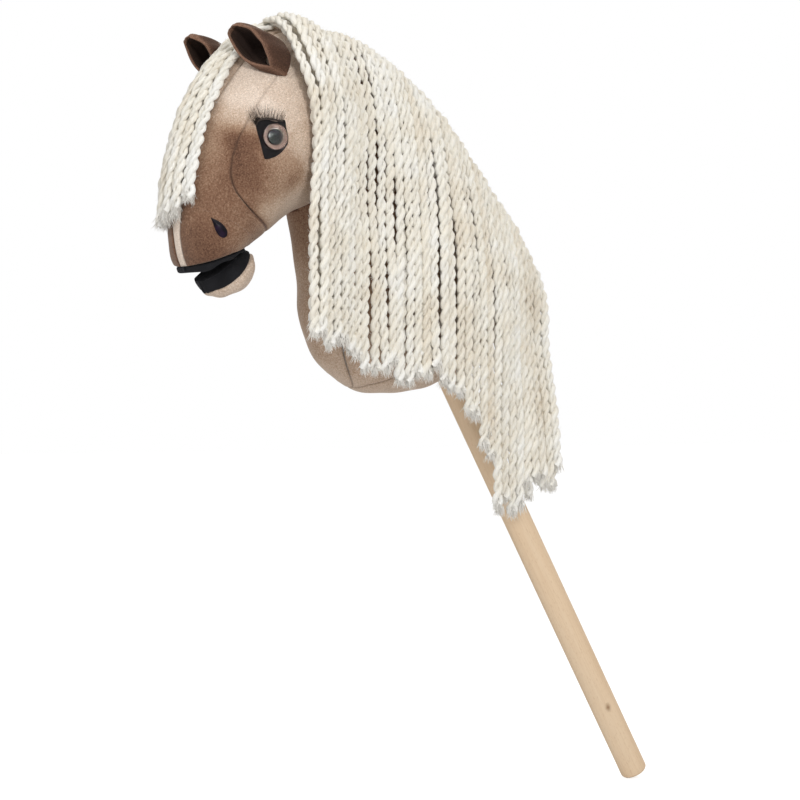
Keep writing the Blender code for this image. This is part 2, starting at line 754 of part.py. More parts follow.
def build_nostril(word, side, head, tree, looks):
    """A dark teardrop sewn on the muzzle, its point up and forward."""
    share = head.share_at(NOSTRIL_ALONG)
    _, front, back, _ = head.section(share)
    centre = (front - back) / 2.0
    angle = math.acos((NOSTRIL_FORWARD - centre) / ((front + back) / 2.0))
    skin = head.point(share, angle, OVER_SKIN)
    place = Vector((skin.x, side * abs(skin.y), skin.z))
    normal = Vector((-math.sin(NOSTRIL_TURN), side * math.cos(NOSTRIL_TURN), 0.0))
    tilt = NOSTRIL_TILT
    outline = []
    steps = 16
    for step in range(steps):
        turn = 2.0 * math.pi * step / steps
        a = NOSTRIL_WIDTH / 2.0 * math.sin(turn) * math.sin(turn / 2.0) ** 1.3
        b = NOSTRIL_LENGTH / 2.0 * math.cos(turn)
        outline.append((a * math.cos(tilt) - b * math.sin(tilt), a * math.sin(tilt) + b * math.cos(tilt)))
    draped_disc("nostril_" + word, tree, place, normal, outline, GAP, FELT, looks["black"], 3)


def ear_frame(head, side):
    """The ear's root on the head, its long direction, the way its cup opens and the direction across."""
    along, forward, out = EAR_ROOT
    root = head.origin + head.axis * along + head.forward * forward + Vector((0.0, side * out, 0.0))
    long_way = EAR_FORWARD.copy()
    long_way.y *= side
    long_way.normalize()
    opening = EAR_OPENING.copy()
    opening.y *= side
    opening = (opening - long_way * opening.dot(long_way)).normalized()
    across = opening.cross(long_way)
    return root, long_way, opening, across


def ear_shell(name, head, side, outward, wall, reach_share, look, cutters):
    """A cupped leaf: a round trough that narrows and opens towards its tip."""
    root, long_way, opening, across = ear_frame(head, side)
    rings = 9
    around = 10
    grids = []
    for inner in (True, False):
        grid = []
        for i in range(rings + 1):
            share = reach_share * i / rings
            length = EAR_LENGTH * (share - EAR_BURIED)
            taper = math.sqrt(max(1.0 - share ** 2.6, 0.0))
            swell = 0.78 + 0.24 * math.sin(math.pi * min(share * 0.9, 1.0))
            radius = EAR_TIP_RADIUS + (EAR_RADIUS - EAR_TIP_RADIUS) * taper * swell
            wrap = EAR_WRAP[1] + (EAR_WRAP[0] - EAR_WRAP[1]) * (1.0 - share) ** 1.6
            offset = outward - (wall if inner else 0.0)
            middle = root + long_way * length - opening * (EAR_OFFSET * (1.0 - share))
            row = []
            for j in range(around + 1):
                turn = -wrap + 2.0 * wrap * j / around
                reach = radius + offset
                row.append(middle - opening * (reach * math.cos(turn)) + across * (reach * math.sin(turn)))
            grid.append(row)
        grids.append(grid)
    shell = slab(name, grids[0], grids[1], look)
    for cutter in cutters:
        cut(shell, cutter)
    return shell


def swept_cutters(name, source, pivot, axis, turns):
    """Copies of a cutter turned back about a hinge, so that what they cut clears it over the whole range."""
    made = []
    for index, turn in enumerate(turns):
        mesh = source.data.copy()
        rotation = Matrix.Translation(pivot) @ Matrix.Rotation(-turn, 4, axis) @ Matrix.Translation(-pivot)
        mesh.transform(rotation)
        copy = bpy.data.objects.new("%s_%d" % (name, index), mesh)
        bpy.context.scene.collection.objects.link(copy)
        made.append(as_cutter(copy))
    return made


def build_ears(head, head_room, looks):
    """Two cupped ears, cut to the head's skin and kept clear of the mane's front edge."""
    reach = WIDE_REACH
    mane_front = Vector((MANE_FRONT - GAP, 0.0, POLL.z))
    mane_room = box_in_frame("guide_mane_front", mane_front, Vector((1.0, 0.0, 0.0)), Vector((0.0, 0.0, 1.0)),
                             (0.0, -reach, -reach), (reach, reach, reach))
    for word, side in SIDES:
        root, long_way, opening, across = ear_frame(head, side)
        low, high = EAR_FLEX
        turns = [low + (high - low) * k / 3.0 for k in range(4)]
        cutters = swept_cutters("cut_ear_" + word, head_room, root, across, turns)
        cutters += swept_cutters("cut_mane_front_" + word, mane_room, root, across, (low, high))
        ear_shell("ear_shell_" + word, head, side, 0.0, EAR_WALL, 1.0, looks["ear"], cutters)
        ear_shell("ear_lining_" + word, head, side, -EAR_WALL - GAP - EASE, EAR_LINING, EAR_LINING_SHARE,
                  looks["ear_inside"], cutters)


def jaw_form(head):
    """The lower jaw: its own axis runs from the mouth's corner down to the lower lip."""
    corner, _, up = mouth_frame(head)
    origin = corner - up * (PALATE_PAD + MOUTH_SLIT + JAW_DROP)
    axis = Vector((-math.cos(JAW_SLOPE), 0.0, -math.sin(JAW_SLOPE)))
    forward = Vector((-math.sin(JAW_SLOPE), 0.0, math.cos(JAW_SLOPE)))
    return SoftForm(origin, axis, forward, JAW_SECTIONS)


def build_jaw(head, head_room, looks):
    """The soft lower jaw with its light outer panel below and its black lining above."""
    jaw = jaw_form(head)
    corner = mouth_frame(head)[0]
    turns = [JAW_FLEX[0] + (JAW_FLEX[1] - JAW_FLEX[0]) * k / 2.0 for k in range(3)]
    cutters = swept_cutters("cut_jaw", head_room, corner, Vector((0.0, 1.0, 0.0)), turns)
    stuffing = form_body("jaw_stuffing", jaw, -EASE, 7, looks["filling"], 16)
    lining = form_patch("jaw_lining", jaw, (0.03, 0.99), lambda share: (-JAW_LINING_ANGLE, JAW_LINING_ANGLE),
                        (GAP, SKIN), looks["black"], 8, 12)
    lap = math.radians(1.5)
    panel = form_patch("jaw_panel", jaw, (0.03, 0.99),
                       lambda share: (JAW_LINING_ANGLE + lap, 2.0 * math.pi - JAW_LINING_ANGLE - lap),
                       (GAP, SKIN), looks["beige"], 8, 6)
    for piece in (stuffing, lining, panel):
        for cutter in cutters:
            cut(piece, cutter)


def crest_point(tree, x, y=0.0):
    """The highest outer point of head and neck over a place."""
    return tree.ray_cast(Vector((x, y, 2.0)), Vector((0.0, 0.0, -1.0)))[0]


def mane_column(tree, x, end, lift, steps):
    """Points of one strand's path: from the crest seam over the near side, then straight down."""
    backed = min(max(x, MANE_FRONT + MANE_OVERHANG[0]), MANE_BACK - MANE_OVERHANG[1])
    crest = crest_point(tree, backed)
    centre = Vector((crest.x, 0.0, crest.z - 0.055))
    path = []
    fan_steps = 7
    widest = 0.0
    for k in range(fan_steps + 1):
        turn = math.radians(6.0) + math.radians(84.0) * k / fan_steps
        way = Vector((0.0, -math.sin(turn), math.cos(turn)))
        hit, normal, _, _ = tree.ray_cast(centre + way * 0.3, -way)
        if hit is None:
            hit, normal = centre, way
        point = hit + way * (lift / max(normal.dot(way), STEEPEST))
        widest = min(widest, point.y)
        path.append(Vector((x, widest, point.z - OVERHANG_FALL * max(x - backed, 0.0))))
    top = path[-1].z
    for k in range(1, steps + 1):
        z = top + (end - top) * k / steps
        hit, normal, _, _ = tree.ray_cast(Vector((backed, -WIDE_REACH, z)), Vector((0.0, 1.0, 0.0)))
        if hit is not None:
            widest = min(widest, hit.y - lift / max(abs(normal.y), STEEPEST))
        fallen = math.sin(math.pi / 2.0 * min((crest.z - z) / YARN_DRIFT_FALL, 1.0))
        path.append(Vector((x, min(widest, -YARN_DRIFT * fallen - lift), z)))
    return path


def build_mane(tree, looks):
    """The hanging yarn as locks side by side, each with a smooth inner face and a ridged outer one."""
    count = len(LOCK_ENDS)
    width = (MANE_BACK - MANE_FRONT) / count
    columns = 8
    for index, (front_end, back_end) in enumerate(LOCK_ENDS):
        start = MANE_FRONT + width * index + LOCK_GAP / 2.0
        finish = start + width - LOCK_GAP
        inner = []
        outer = []
        for c in range(columns + 1):
            share = c / columns
            x = start + (finish - start) * share
            end = BASE_LEVEL + front_end + (back_end - front_end) * share
            ridge = YARN_THICKNESS * (1.0 if c % 2 else 0.82)
            inner.append(mane_column(tree, x, end, YARN_LIFT, 8))
            outer.append(mane_column(tree, x, end, YARN_LIFT + ridge, 8))
        for near, far in zip(inner, outer):
            near[-1].z = far[-1].z
        slab("mane_lock_%d" % (index + 1), inner, outer, looks["yarn"])


def build_tapes(neck, head, looks):
    """The woven tapes that the yarn is sewn to, in the crest seam and over the poll."""
    def crest_edges(share):
        turn = math.asin(min(TAPE_WIDTH / 2.0 / neck.section(share)[3], 0.9))
        return math.pi - turn, math.pi + turn

    form_patch("mane_tape", neck, (neck.share_at(TAPE_LOW), neck.share_at(TAPE_HIGH)), crest_edges,
               (OVER_SKIN, OVER_SKIN + TAPE_THICKNESS), looks["tape"], 12, 2)

    def poll_edges(share):
        turn = math.asin(min(FORELOCK_LEFT[0] * 0.9 / head.section(share)[3], 0.9))
        return -turn, turn

    shares = (head.share_at(SEAM_LAP), head.share_at(FORELOCK_START - 1.5 * SEAM_LAP))
    form_patch("forelock_tape", head, shares, poll_edges, (OVER_SKIN, OVER_SKIN + TAPE_THICKNESS),
               looks["tape"], 3, 4)


def build_forelock(head, looks):
    """The forelock: a curtain of yarn that lies on the forehead and the nose."""
    start = head.share_at(FORELOCK_START)
    end = head.share_at(FORELOCK_END)

    def edges(share):
        spread = min(max(3.0 * (share - start) / (end - start) - 0.6, 0.0), 1.0)
        left = FORELOCK_LEFT[0] + (FORELOCK_LEFT[1] - FORELOCK_LEFT[0]) * spread
        right = FORELOCK_RIGHT[0] + (FORELOCK_RIGHT[1] - FORELOCK_RIGHT[0]) * spread
        return -angle_for(head, share, right), angle_for(head, share, left)

    form_patch("forelock", head, (start, end), edges, (OVER_SKIN + GAP, OVER_SKIN + YARN_THICKNESS),
               looks["yarn"], 14, 6)


def make_looks():
    return {
        "wood": material("beech", (0.60, 0.42, 0.25), 0.55),
        "brown": material("brown velvet", (0.20, 0.11, 0.07), 0.85),
        "taupe": material("taupe velvet", (0.36, 0.27, 0.21), 0.85),
        "beige": material("beige velvet", (0.60, 0.47, 0.38), 0.85),
        "ear": material("dark brown velvet", (0.12, 0.06, 0.04), 0.85),
        "ear_inside": material("ear lining", (0.03, 0.02, 0.015), 0.90),
        "black": material("black felt", (0.010, 0.010, 0.012), 0.95),
        "yarn": material("cream yarn", (0.78, 0.72, 0.62), 0.95),
        "tape": material("cream tape", (0.70, 0.66, 0.58), 0.90),
        "filling": material("polyester filling", (0.85, 0.85, 0.85), 1.0),
        "lining": material("canvas", (0.50, 0.45, 0.38), 0.90),
        "tie": material("white nylon", (0.80, 0.80, 0.78), 0.45),
        "steel": material("zinc plated steel", (0.60, 0.60, 0.58), 0.35, 1.0),
        "plastic": material("natural plastic", (0.75, 0.75, 0.72), 0.45),
        "iris": material("brown eye plastic", (0.12, 0.07, 0.05), 0.25),
        "clear": material("clear plastic", (0.9, 0.9, 0.9), 0.05, 0.0, 0.3),
    }


def main():
    clear_scene()
    looks = make_looks()
    neck = SoftForm(NECK_BASE, STICK_AXIS, -STICK_BACK, NECK_SECTIONS)
    head = SoftForm(POLL, HEAD_AXIS, HEAD_FORWARD, HEAD_SECTIONS)

    build_stick(looks)
    build_pocket(looks)
    head_room = as_cutter(form_body("cut_head_room", head, OVER_SKIN, 24, None))
    neck_room = as_cutter(form_body("guide_neck_skin", neck, OVER_SKIN, 24, None))
    build_neck(neck, head_room, looks)
    stuffing, panels = build_head(head, looks)
    near_head = as_cutter(form_body("cut_near_head", head, NEAR_SKIN, FINE_RINGS, None, FINE_AROUND))
    skin = as_cutter(form_body("guide_head_skin", head, SKIN + FINE_EASE, FINE_RINGS, None, FINE_AROUND))
    head_tree = surface_tree([skin])
    whole_tree = surface_tree([head_room, neck_room])
    for (word, side), panel in zip(SIDES, panels):
        build_eye(word, side, head, head_tree, stuffing, panel, looks)
        build_nostril(word, side, head, head_tree, looks)
    build_jaw(head, near_head, looks)
    build_ears(head, near_head, looks)
    build_tapes(neck, head, looks)
    build_mane(whole_tree, looks)
    build_forelock(head, looks)


main()
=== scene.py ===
"""The dressed hobby horse: velvet panels, felt, eyes, lashes, crimped yarn and beech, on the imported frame.

Metres, in the frame's own axes. The horse looks along -X and its left side faces -Y.
"""
import math

import bmesh
import bpy
import numpy as np
from mathutils import Matrix, Vector
from mathutils.bvhtree import BVHTree


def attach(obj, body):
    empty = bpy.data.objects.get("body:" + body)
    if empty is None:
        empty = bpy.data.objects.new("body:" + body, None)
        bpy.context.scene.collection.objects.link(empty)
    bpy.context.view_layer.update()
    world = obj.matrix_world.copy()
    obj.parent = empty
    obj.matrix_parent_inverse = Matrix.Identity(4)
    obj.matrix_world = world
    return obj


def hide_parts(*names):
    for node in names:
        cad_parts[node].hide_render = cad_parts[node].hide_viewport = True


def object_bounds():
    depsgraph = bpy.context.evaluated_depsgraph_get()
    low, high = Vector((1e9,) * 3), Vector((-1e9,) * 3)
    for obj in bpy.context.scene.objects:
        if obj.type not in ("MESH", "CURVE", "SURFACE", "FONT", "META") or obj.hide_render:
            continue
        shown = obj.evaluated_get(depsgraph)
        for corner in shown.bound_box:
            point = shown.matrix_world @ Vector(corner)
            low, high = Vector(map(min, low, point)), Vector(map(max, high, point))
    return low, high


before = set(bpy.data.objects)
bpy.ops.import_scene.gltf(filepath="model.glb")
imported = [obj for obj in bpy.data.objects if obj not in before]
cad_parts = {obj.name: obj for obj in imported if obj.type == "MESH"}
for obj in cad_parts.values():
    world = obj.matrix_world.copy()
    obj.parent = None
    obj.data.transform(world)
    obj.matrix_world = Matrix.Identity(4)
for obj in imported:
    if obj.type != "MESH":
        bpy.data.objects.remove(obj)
CAD_BOX = [list(corner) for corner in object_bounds()]

# The camera, the lamps and the floor
CAMERA_YAW = math.radians(35.0)
CAMERA_TARGET = Vector((-0.3011, 0.0, 0.3908))
CAMERA_DISTANCE = 2.352
CAMERA_LENS = 108.0
CAMERA_SENSOR = 36.0
LAMP_TARGET = Vector((-0.40, 0.0, 0.56))
ROOM_LIGHT = 0.52
FLOOR_GLOW = 0.66
FLOOR_GAP = 0.0008
FLOOR_REACH = 14.0

# The stick
STICK_RADIUS = 0.014
STICK_BARE = 0.480
STICK_INSIDE = 0.232
STICK_LEAN = math.radians(30.0)
STICK_ROUNDING = 0.004

# Cloth
GAP = 0.0003
VELVET = 0.0014
FELT = 0.0012
SKIN = GAP + VELVET
ROLL_DEPTH = 0.0013
ROLL_WIDTH = 0.0015
PUCKER = 0.00025
PUCKER_REACH = 0.006
# Painted shade along the seams: its width, its fade on pale tone and its strength
SEAM_SHADE_WIDTH = 0.0010
SEAM_SHADE_FADE = 1.30
SEAM_SHADE_DEPTH = 0.52

POLL_ABOVE_NECK = 0.3675
POLL_BEFORE_STICK = 0.0115
STICK_AXIS = np.array((-math.sin(STICK_LEAN), 0.0, math.cos(STICK_LEAN)))
STICK_BACK = np.array((math.cos(STICK_LEAN), 0.0, math.sin(STICK_LEAN)))
NECK_BASE = STICK_AXIS * STICK_BARE
POLL = STICK_AXIS * (STICK_BARE + POLL_ABOVE_NECK) - STICK_BACK * POLL_BEFORE_STICK
HEAD_PITCH = math.radians(23.6)
HEAD_AXIS = np.array((-math.sin(HEAD_PITCH), 0.0, -math.cos(HEAD_PITCH)))
HEAD_FORWARD = np.array((-math.cos(HEAD_PITCH), 0.0, math.sin(HEAD_PITCH)))

# Sections of the stuffed shapes: distance along, reach to the front, reach to the back, half width
NECK_SECTIONS = (
    (0.006, 0.022, 0.024, 0.020), (0.012, 0.046, 0.055, 0.036), (0.024, 0.075, 0.092, 0.050),
    (0.044, 0.104, 0.115, 0.058), (0.070, 0.120, 0.124, 0.060), (0.100, 0.127, 0.124, 0.060),
    (0.135, 0.119, 0.1185, 0.058), (0.170, 0.103, 0.1125, 0.054), (0.228, 0.083, 0.1015, 0.049),
    (0.285, 0.074, 0.080, 0.045), (0.325, 0.063, 0.055, 0.040), (0.352, 0.044, 0.029, 0.030),
    (0.364, 0.025, 0.010, 0.016),
)
HEAD_SECTIONS = (
    (-0.0085, 0.016, 0.018, 0.016), (0.000, 0.028, 0.034, 0.029), (0.014, 0.037, 0.058, 0.042),
    (0.035, 0.0455, 0.076, 0.052), (0.065, 0.055, 0.090, 0.060), (0.100, 0.060, 0.093, 0.063),
    (0.125, 0.0585, 0.083, 0.0605), (0.145, 0.056, 0.063, 0.055), (0.170, 0.052, 0.048, 0.048),
    (0.195, 0.044, 0.0335, 0.042), (0.215, 0.035, 0.022, 0.038), (0.232, 0.024, 0.012, 0.031),
    (0.2425, 0.013, 0.002, 0.018),
)
JAW_SECTIONS = (
    (-0.0085, -0.0010, 0.0100, 0.009), (-0.0020, 0.0015, 0.0190, 0.0185), (0.0080, 0.0020, 0.0270, 0.0250),
    (0.0200, 0.0020, 0.0295, 0.0265), (0.0310, 0.0030, 0.0285, 0.0240), (0.0395, 0.0028, 0.0245, 0.0175),
    (0.0445, 0.0010, 0.0190, 0.0100), (0.0462, -0.0028, 0.0140, 0.0035),
)
BASE_SEAM_HEIGHT = 0.0405
BASE_SEAM_RISE = 0.0085
THROAT_GUSSET_HALF = 0.0275
THROAT_GUSSET_TOP = 0.294
THROAT_POINT = 0.0495
THROAT_OPENING = 0.050
FACE_GUSSET_HALF = (0.022, 0.0055)

# The seam from the ear past the eye to the jowl: distance from the poll and reach to the face
CHEEK_SEAM = (
    (0.0480, 0.0200), (0.0561, 0.0216), (0.0697, 0.0256), (0.0838, 0.0289), (0.0974, 0.0312),
    (0.1110, 0.0330), (0.1225, 0.0335), (0.1337, 0.0328), (0.1431, 0.0313), (0.1562, 0.0268),
    (0.1650, 0.0199), (0.1706, 0.0120), (0.1753, -0.0001), (0.1779, -0.0143), (0.1776, -0.0331),
    (0.1768, -0.0440),
)

# The mouth and the jaw
MOUTH_CORNER = (0.2005, -0.027)
LIP_SLOPE = math.radians(17.0)
LIP_SAG = math.radians(2.6)
PALATE_PAD = 0.0045
PALATE_DROP = 0.0028
PALATE_LIP = 0.0018
MOUTH_SLIT = 0.0025
JAW_DROP = 0.0004
JAW_SLOPE = math.radians(24.5)
JAW_EDGE = (
    (-0.02, 52.0), (0.12, 62.0), (0.30, 75.0), (0.40, 86.0), (0.49, 95.0), (0.61, 110.0), (0.76, 131.0),
    (0.83, 154.0), (0.86, 179.5), (1.02, 179.5),
)
JAW_FLEX = (math.radians(-8.0), math.radians(4.0))

# The ears
LEFT = -1.0
RIGHT = 1.0
EAR_ROOT = (0.039, 0.019, 0.046)
EAR_LENGTH = 0.068
EAR_RADIUS = 0.0170
EAR_TIP_RADIUS = 0.0050
EAR_OFFSET = 0.0035
EAR_BURIED = 0.12
EAR_SEWN = 0.27
EAR_SEAT = 0.28
EAR_LIMIT = -0.4650
EAR_WALL = 0.0024
EAR_LINING = 0.0009
EAR_WRAP = (math.radians(180.4), math.radians(72.0))
EAR_FORWARD = (-0.860, -0.10, 0.50)
EAR_OPENING = (-0.515, 0.34, -0.857)
EAR_TWISTS = {LEFT: math.radians(-18.0), RIGHT: math.radians(-34.0)}
EAR_FLEX = (math.radians(-8.0), math.radians(10.0))

# The eyes
EYE_ALONG = 0.1094
EYE_FORWARD = 0.008
EYE_TURN = math.radians(12.0)
EYE_RADIUS = 0.012
EYE_RIM = 0.0022
DOME_HEIGHT = 0.0055
PUPIL_RADIUS = 0.0072
PUPIL_STEP = 0.0008
EYE_EASE = 0.0004
EYE_STEP = 0.0006
SHANK_RADIUS = 0.0026
SHANK_LENGTH = 0.015
PATCH_OUTLINE = (
    (-0.0157, 0.0077), (-0.0124, -0.0063), (-0.0083, -0.0203), (0.0016, -0.0179), (0.0085, -0.0128),
    (0.0137, -0.0055), (0.0142, 0.0018), (0.0125, 0.0096), (0.0115, 0.0165), (0.0036, 0.0146),
    (-0.0153, 0.0174),
)

# The nostrils
NOSTRIL_ALONG = 0.2030
NOSTRIL_FORWARD = 0.0165
NOSTRIL_LENGTH = 0.0225
NOSTRIL_WIDTH = 0.0128
NOSTRIL_HOOK = 0.0016
NOSTRIL_HEM = 0.0004
NOSTRIL_PUFF = 0.0016
NOSTRIL_TURN = math.radians(28.0)
NOSTRIL_TILT = math.radians(34.0)

# The mane's yarn
MANE_FRONT = -0.449
MANE_BACK = -0.151
LOCKS = 6
MANE_SPREAD = (-0.4525, -0.1560)
ROPE_RADIUS = 0.0021
PLY_RADIUS = 0.0024
PLY_SHARES = (1.14, 0.90)
ROPE_SPREAD = (0.62, 1.22)
FUZZ_STEP = 0.0026
YARN_PITCH = 0.0240
ROOT_SPACING = 0.0093
ROW_LIFTS = (0.0094, 0.0056)
ROW_SHARES = (1.0, 0.50)
FULL_ROWS = (-0.400, -0.195)
CREST_SWELL = (0.45, -0.372, 0.030)
YARN_DRIFT = 0.056
YARN_DRIFT_FALL = 0.24
MANE_OVERHANG = 0.020
COMB_REACH = 0.0095
COMB_FADE = 0.16
COMBED = ((0.0, 1.0), (0.03, 0.69), (0.06, -0.17), (0.10, -0.49), (0.17, -0.15), (0.27, 0.0))
OVERHANG_FALL = 1.6
STEEPEST = 0.45
ROOT_LIFT = 0.12
ROOT_TURN = math.radians(50.0)
MANE_ENDS = (
    (-0.456, 0.441), (-0.436, 0.442), (-0.414, 0.439), (-0.395, 0.436), (-0.383, 0.421), (-0.369, 0.418),
    (-0.351, 0.413), (-0.322, 0.411), (-0.309, 0.405), (-0.278, 0.398), (-0.262, 0.364), (-0.243, 0.340),
    (-0.235, 0.276), (-0.221, 0.277), (-0.208, 0.281), (-0.196, 0.293), (-0.183, 0.300), (-0.171, 0.304),
    (-0.145, 0.309),
)
POLL_START = 0.003
TAPE_SPAN = (0.115, 0.315)
TAPE_WIDTH = 0.014
TAPE_THICKNESS = 0.0012
TAPE_FOLD = 0.035
STITCHES = 44
THREAD = 0.00045
FORELOCK_START = 0.020
FORELOCK_LEFT = (0.0180, 0.0255)
FORELOCK_RIGHT = (0.0165, 0.0215)
FORELOCK_ENDS = ((-0.026, 0.580), (-0.016, 0.574), (-0.004, 0.562), (0.010, 0.556), (0.023, 0.562))
FORELOCK_STRANDS = 9
FORELOCK_LIMIT = 0.238
YARN_STEP = 0.0019
YARN_SIDES = 9
YARN_LUMPS = 0.0011
END_SCATTER = (-0.004, 0.020)
END_ROW_STEP = 0.003
STRAND_SWAY = 0.0026
FUZZ = {"Count": 2, "Length": 0.0030, "Thickness": 0.00015, "Jitter": 0.0008, "Splay": 0.5, "Bend": 0.0012}
TUFT = {"Count": 90, "Length": 0.0082, "Thickness": 0.00046, "Jitter": 0.0036, "Splay": 0.42, "Bend": 0.0016}

# The low domes that close the stuffed shapes: rise as a share of the half width, and span in shares
DOME_RISE = 0.12
DOME_SPAN = 0.02

SIDES = (("left", LEFT), ("right", RIGHT))


# Nodes

class Nodes:
    """A node tree and short ways to add its nodes."""

    def __init__(self, tree):
        self.tree = tree

    def put(self, value, socket):
        """Links another node's output to a socket, or sets the socket's own value."""
        if isinstance(value, bpy.types.NodeSocket):
            self.tree.links.new(value, socket)
        elif isinstance(value, (tuple, list)) and len(value) == 3 and socket.type == "RGBA":
            socket.default_value = (*value, 1.0)
        else:
            socket.default_value = value

    def add(self, kind, settings=None, **inputs):
        """A new node with its settings and inputs."""
        node = self.tree.nodes.new(kind)
        for key, value in (settings or {}).items():
            setattr(node, key, value)
        for key, value in inputs.items():
            self.put(value, node.inputs[key.replace("_", " ")])
        return node

    def out(self, kind, settings=None, **inputs):
        """The first output of a new node."""
        return self.add(kind, settings, **inputs).outputs[0]

    def math(self, operation, a, b=0.0, clamp=False):
        node = self.add("ShaderNodeMath", {"operation": operation, "use_clamp": clamp})
        self.put(a, node.inputs[0])
        self.put(b, node.inputs[1])
        return node.outputs[0]


# Camera, light and floor

def linked(name, data):
    """An object in the scene for a mesh, lamp or camera."""
    obj = bpy.data.objects.new(name, data)
    bpy.context.scene.collection.objects.link(obj)
    return obj


def place_camera():
    look = Vector((math.sin(CAMERA_YAW), math.cos(CAMERA_YAW), 0.0))
    camera = linked("camera", bpy.data.cameras.new("camera"))
    camera.location = CAMERA_TARGET - look * CAMERA_DISTANCE
    camera.rotation_euler = look.to_track_quat("-Z", "Y").to_euler()
    camera.data.lens = CAMERA_LENS
    camera.data.sensor_width = CAMERA_SENSOR
    bpy.context.scene.camera = camera


def soft_lamp(name, around, above, distance, size, power, color=(1.0, 1.0, 1.0)):
    """A square soft box that looks at the head, placed by its angles from the camera's own side."""
    data = bpy.data.lights.new(name, "AREA")
    data.shape = "SQUARE"
    data.size = size
    data.energy = power
    data.color = color
    lamp = linked(name, data)
    azimuth = CAMERA_YAW + around
    level = math.cos(above)
    way = Vector((-math.sin(azimuth) * level, -math.cos(azimuth) * level, math.sin(above)))
    lamp.location = LAMP_TARGET + way * distance
    lamp.rotation_euler = (-way).to_track_quat("-Z", "Y").to_euler()
    return lamp


def light_studio():
    """Soft boxes and an even white room."""
    bpy.context.scene.view_settings.view_transform = "Standard"
    soft_lamp("key lamp", math.radians(-16.8), math.radians(16.4), 2.0, 0.27, 15.0)
    soft_lamp("left lamp", math.radians(48.0), math.radians(32.0), 2.4, 1.4, 14.0)
    soft_lamp("top lamp", math.radians(-60.0), math.radians(66.0), 2.2, 1.4, 12.0)
    world = bpy.data.worlds.new("white room")
    bpy.context.scene.world = world
    world.use_nodes = True
    room = Nodes(world.node_tree)
    background = room.tree.nodes["Background"]
    path = room.add("ShaderNodeLightPath").outputs
    seen = room.math("MAXIMUM", path["Is Camera Ray"], path["Is Glossy Ray"])
    seen = room.math("MAXIMUM", seen, path["Is Transmission Ray"])
    strength = room.add("ShaderNodeMapRange", Value=seen, To_Min=ROOM_LIGHT, To_Max=1.0)
    room.put((1.0, 1.0, 1.0), background.inputs["Color"])
    room.put(strength.outputs["Result"], background.inputs["Strength"])


def shine_eyes():
    """The soft box that only the clear domes of the eyes mirror."""
    lamp = soft_lamp("eye lamp", math.radians(-3.0), math.radians(8.0), 2.0, 0.42, 800.0)
    lamp.visible_diffuse = False
    lamp.visible_transmission = False
    domes = bpy.data.collections.new("eye domes")
    for word, _ in SIDES:
        domes.objects.link(bpy.data.objects["eye_dome_clear_" + word])
    lamp.light_linking.receiver_collection = domes


def lay_floor():
    low = CAD_BOX[0][2] - FLOOR_GAP
    mesh = bpy.data.meshes.new("floor")
    corners = ((-1.0, -1.0), (1.0, -1.0), (1.0, 1.0), (-1.0, 1.0))
    mesh.from_pydata([(x * FLOOR_REACH, y * FLOOR_REACH, low) for x, y in corners], [], [(0, 1, 2, 3)])
    floor = linked("floor", mesh)
    paint = bpy.data.materials.new("floor paper")
    paint.use_nodes = True
    paper = Nodes(paint.node_tree)
    paper.tree.nodes.clear()
    seen = paper.add("ShaderNodeLightPath").outputs["Is Camera Ray"]
    share = paper.math("MULTIPLY", seen, FLOOR_GLOW)
    both = paper.add("ShaderNodeAddShader")
    paper.put(paper.out("ShaderNodeBsdfDiffuse", Color=(0.82, 0.82, 0.82)), both.inputs[0])
    paper.put(paper.out("ShaderNodeEmission", Color=(1.0, 1.0, 1.0), Strength=share), both.inputs[1])
    paper.add("ShaderNodeOutputMaterial", Surface=both.outputs[0])
    mesh.materials.append(paint)


# Materials

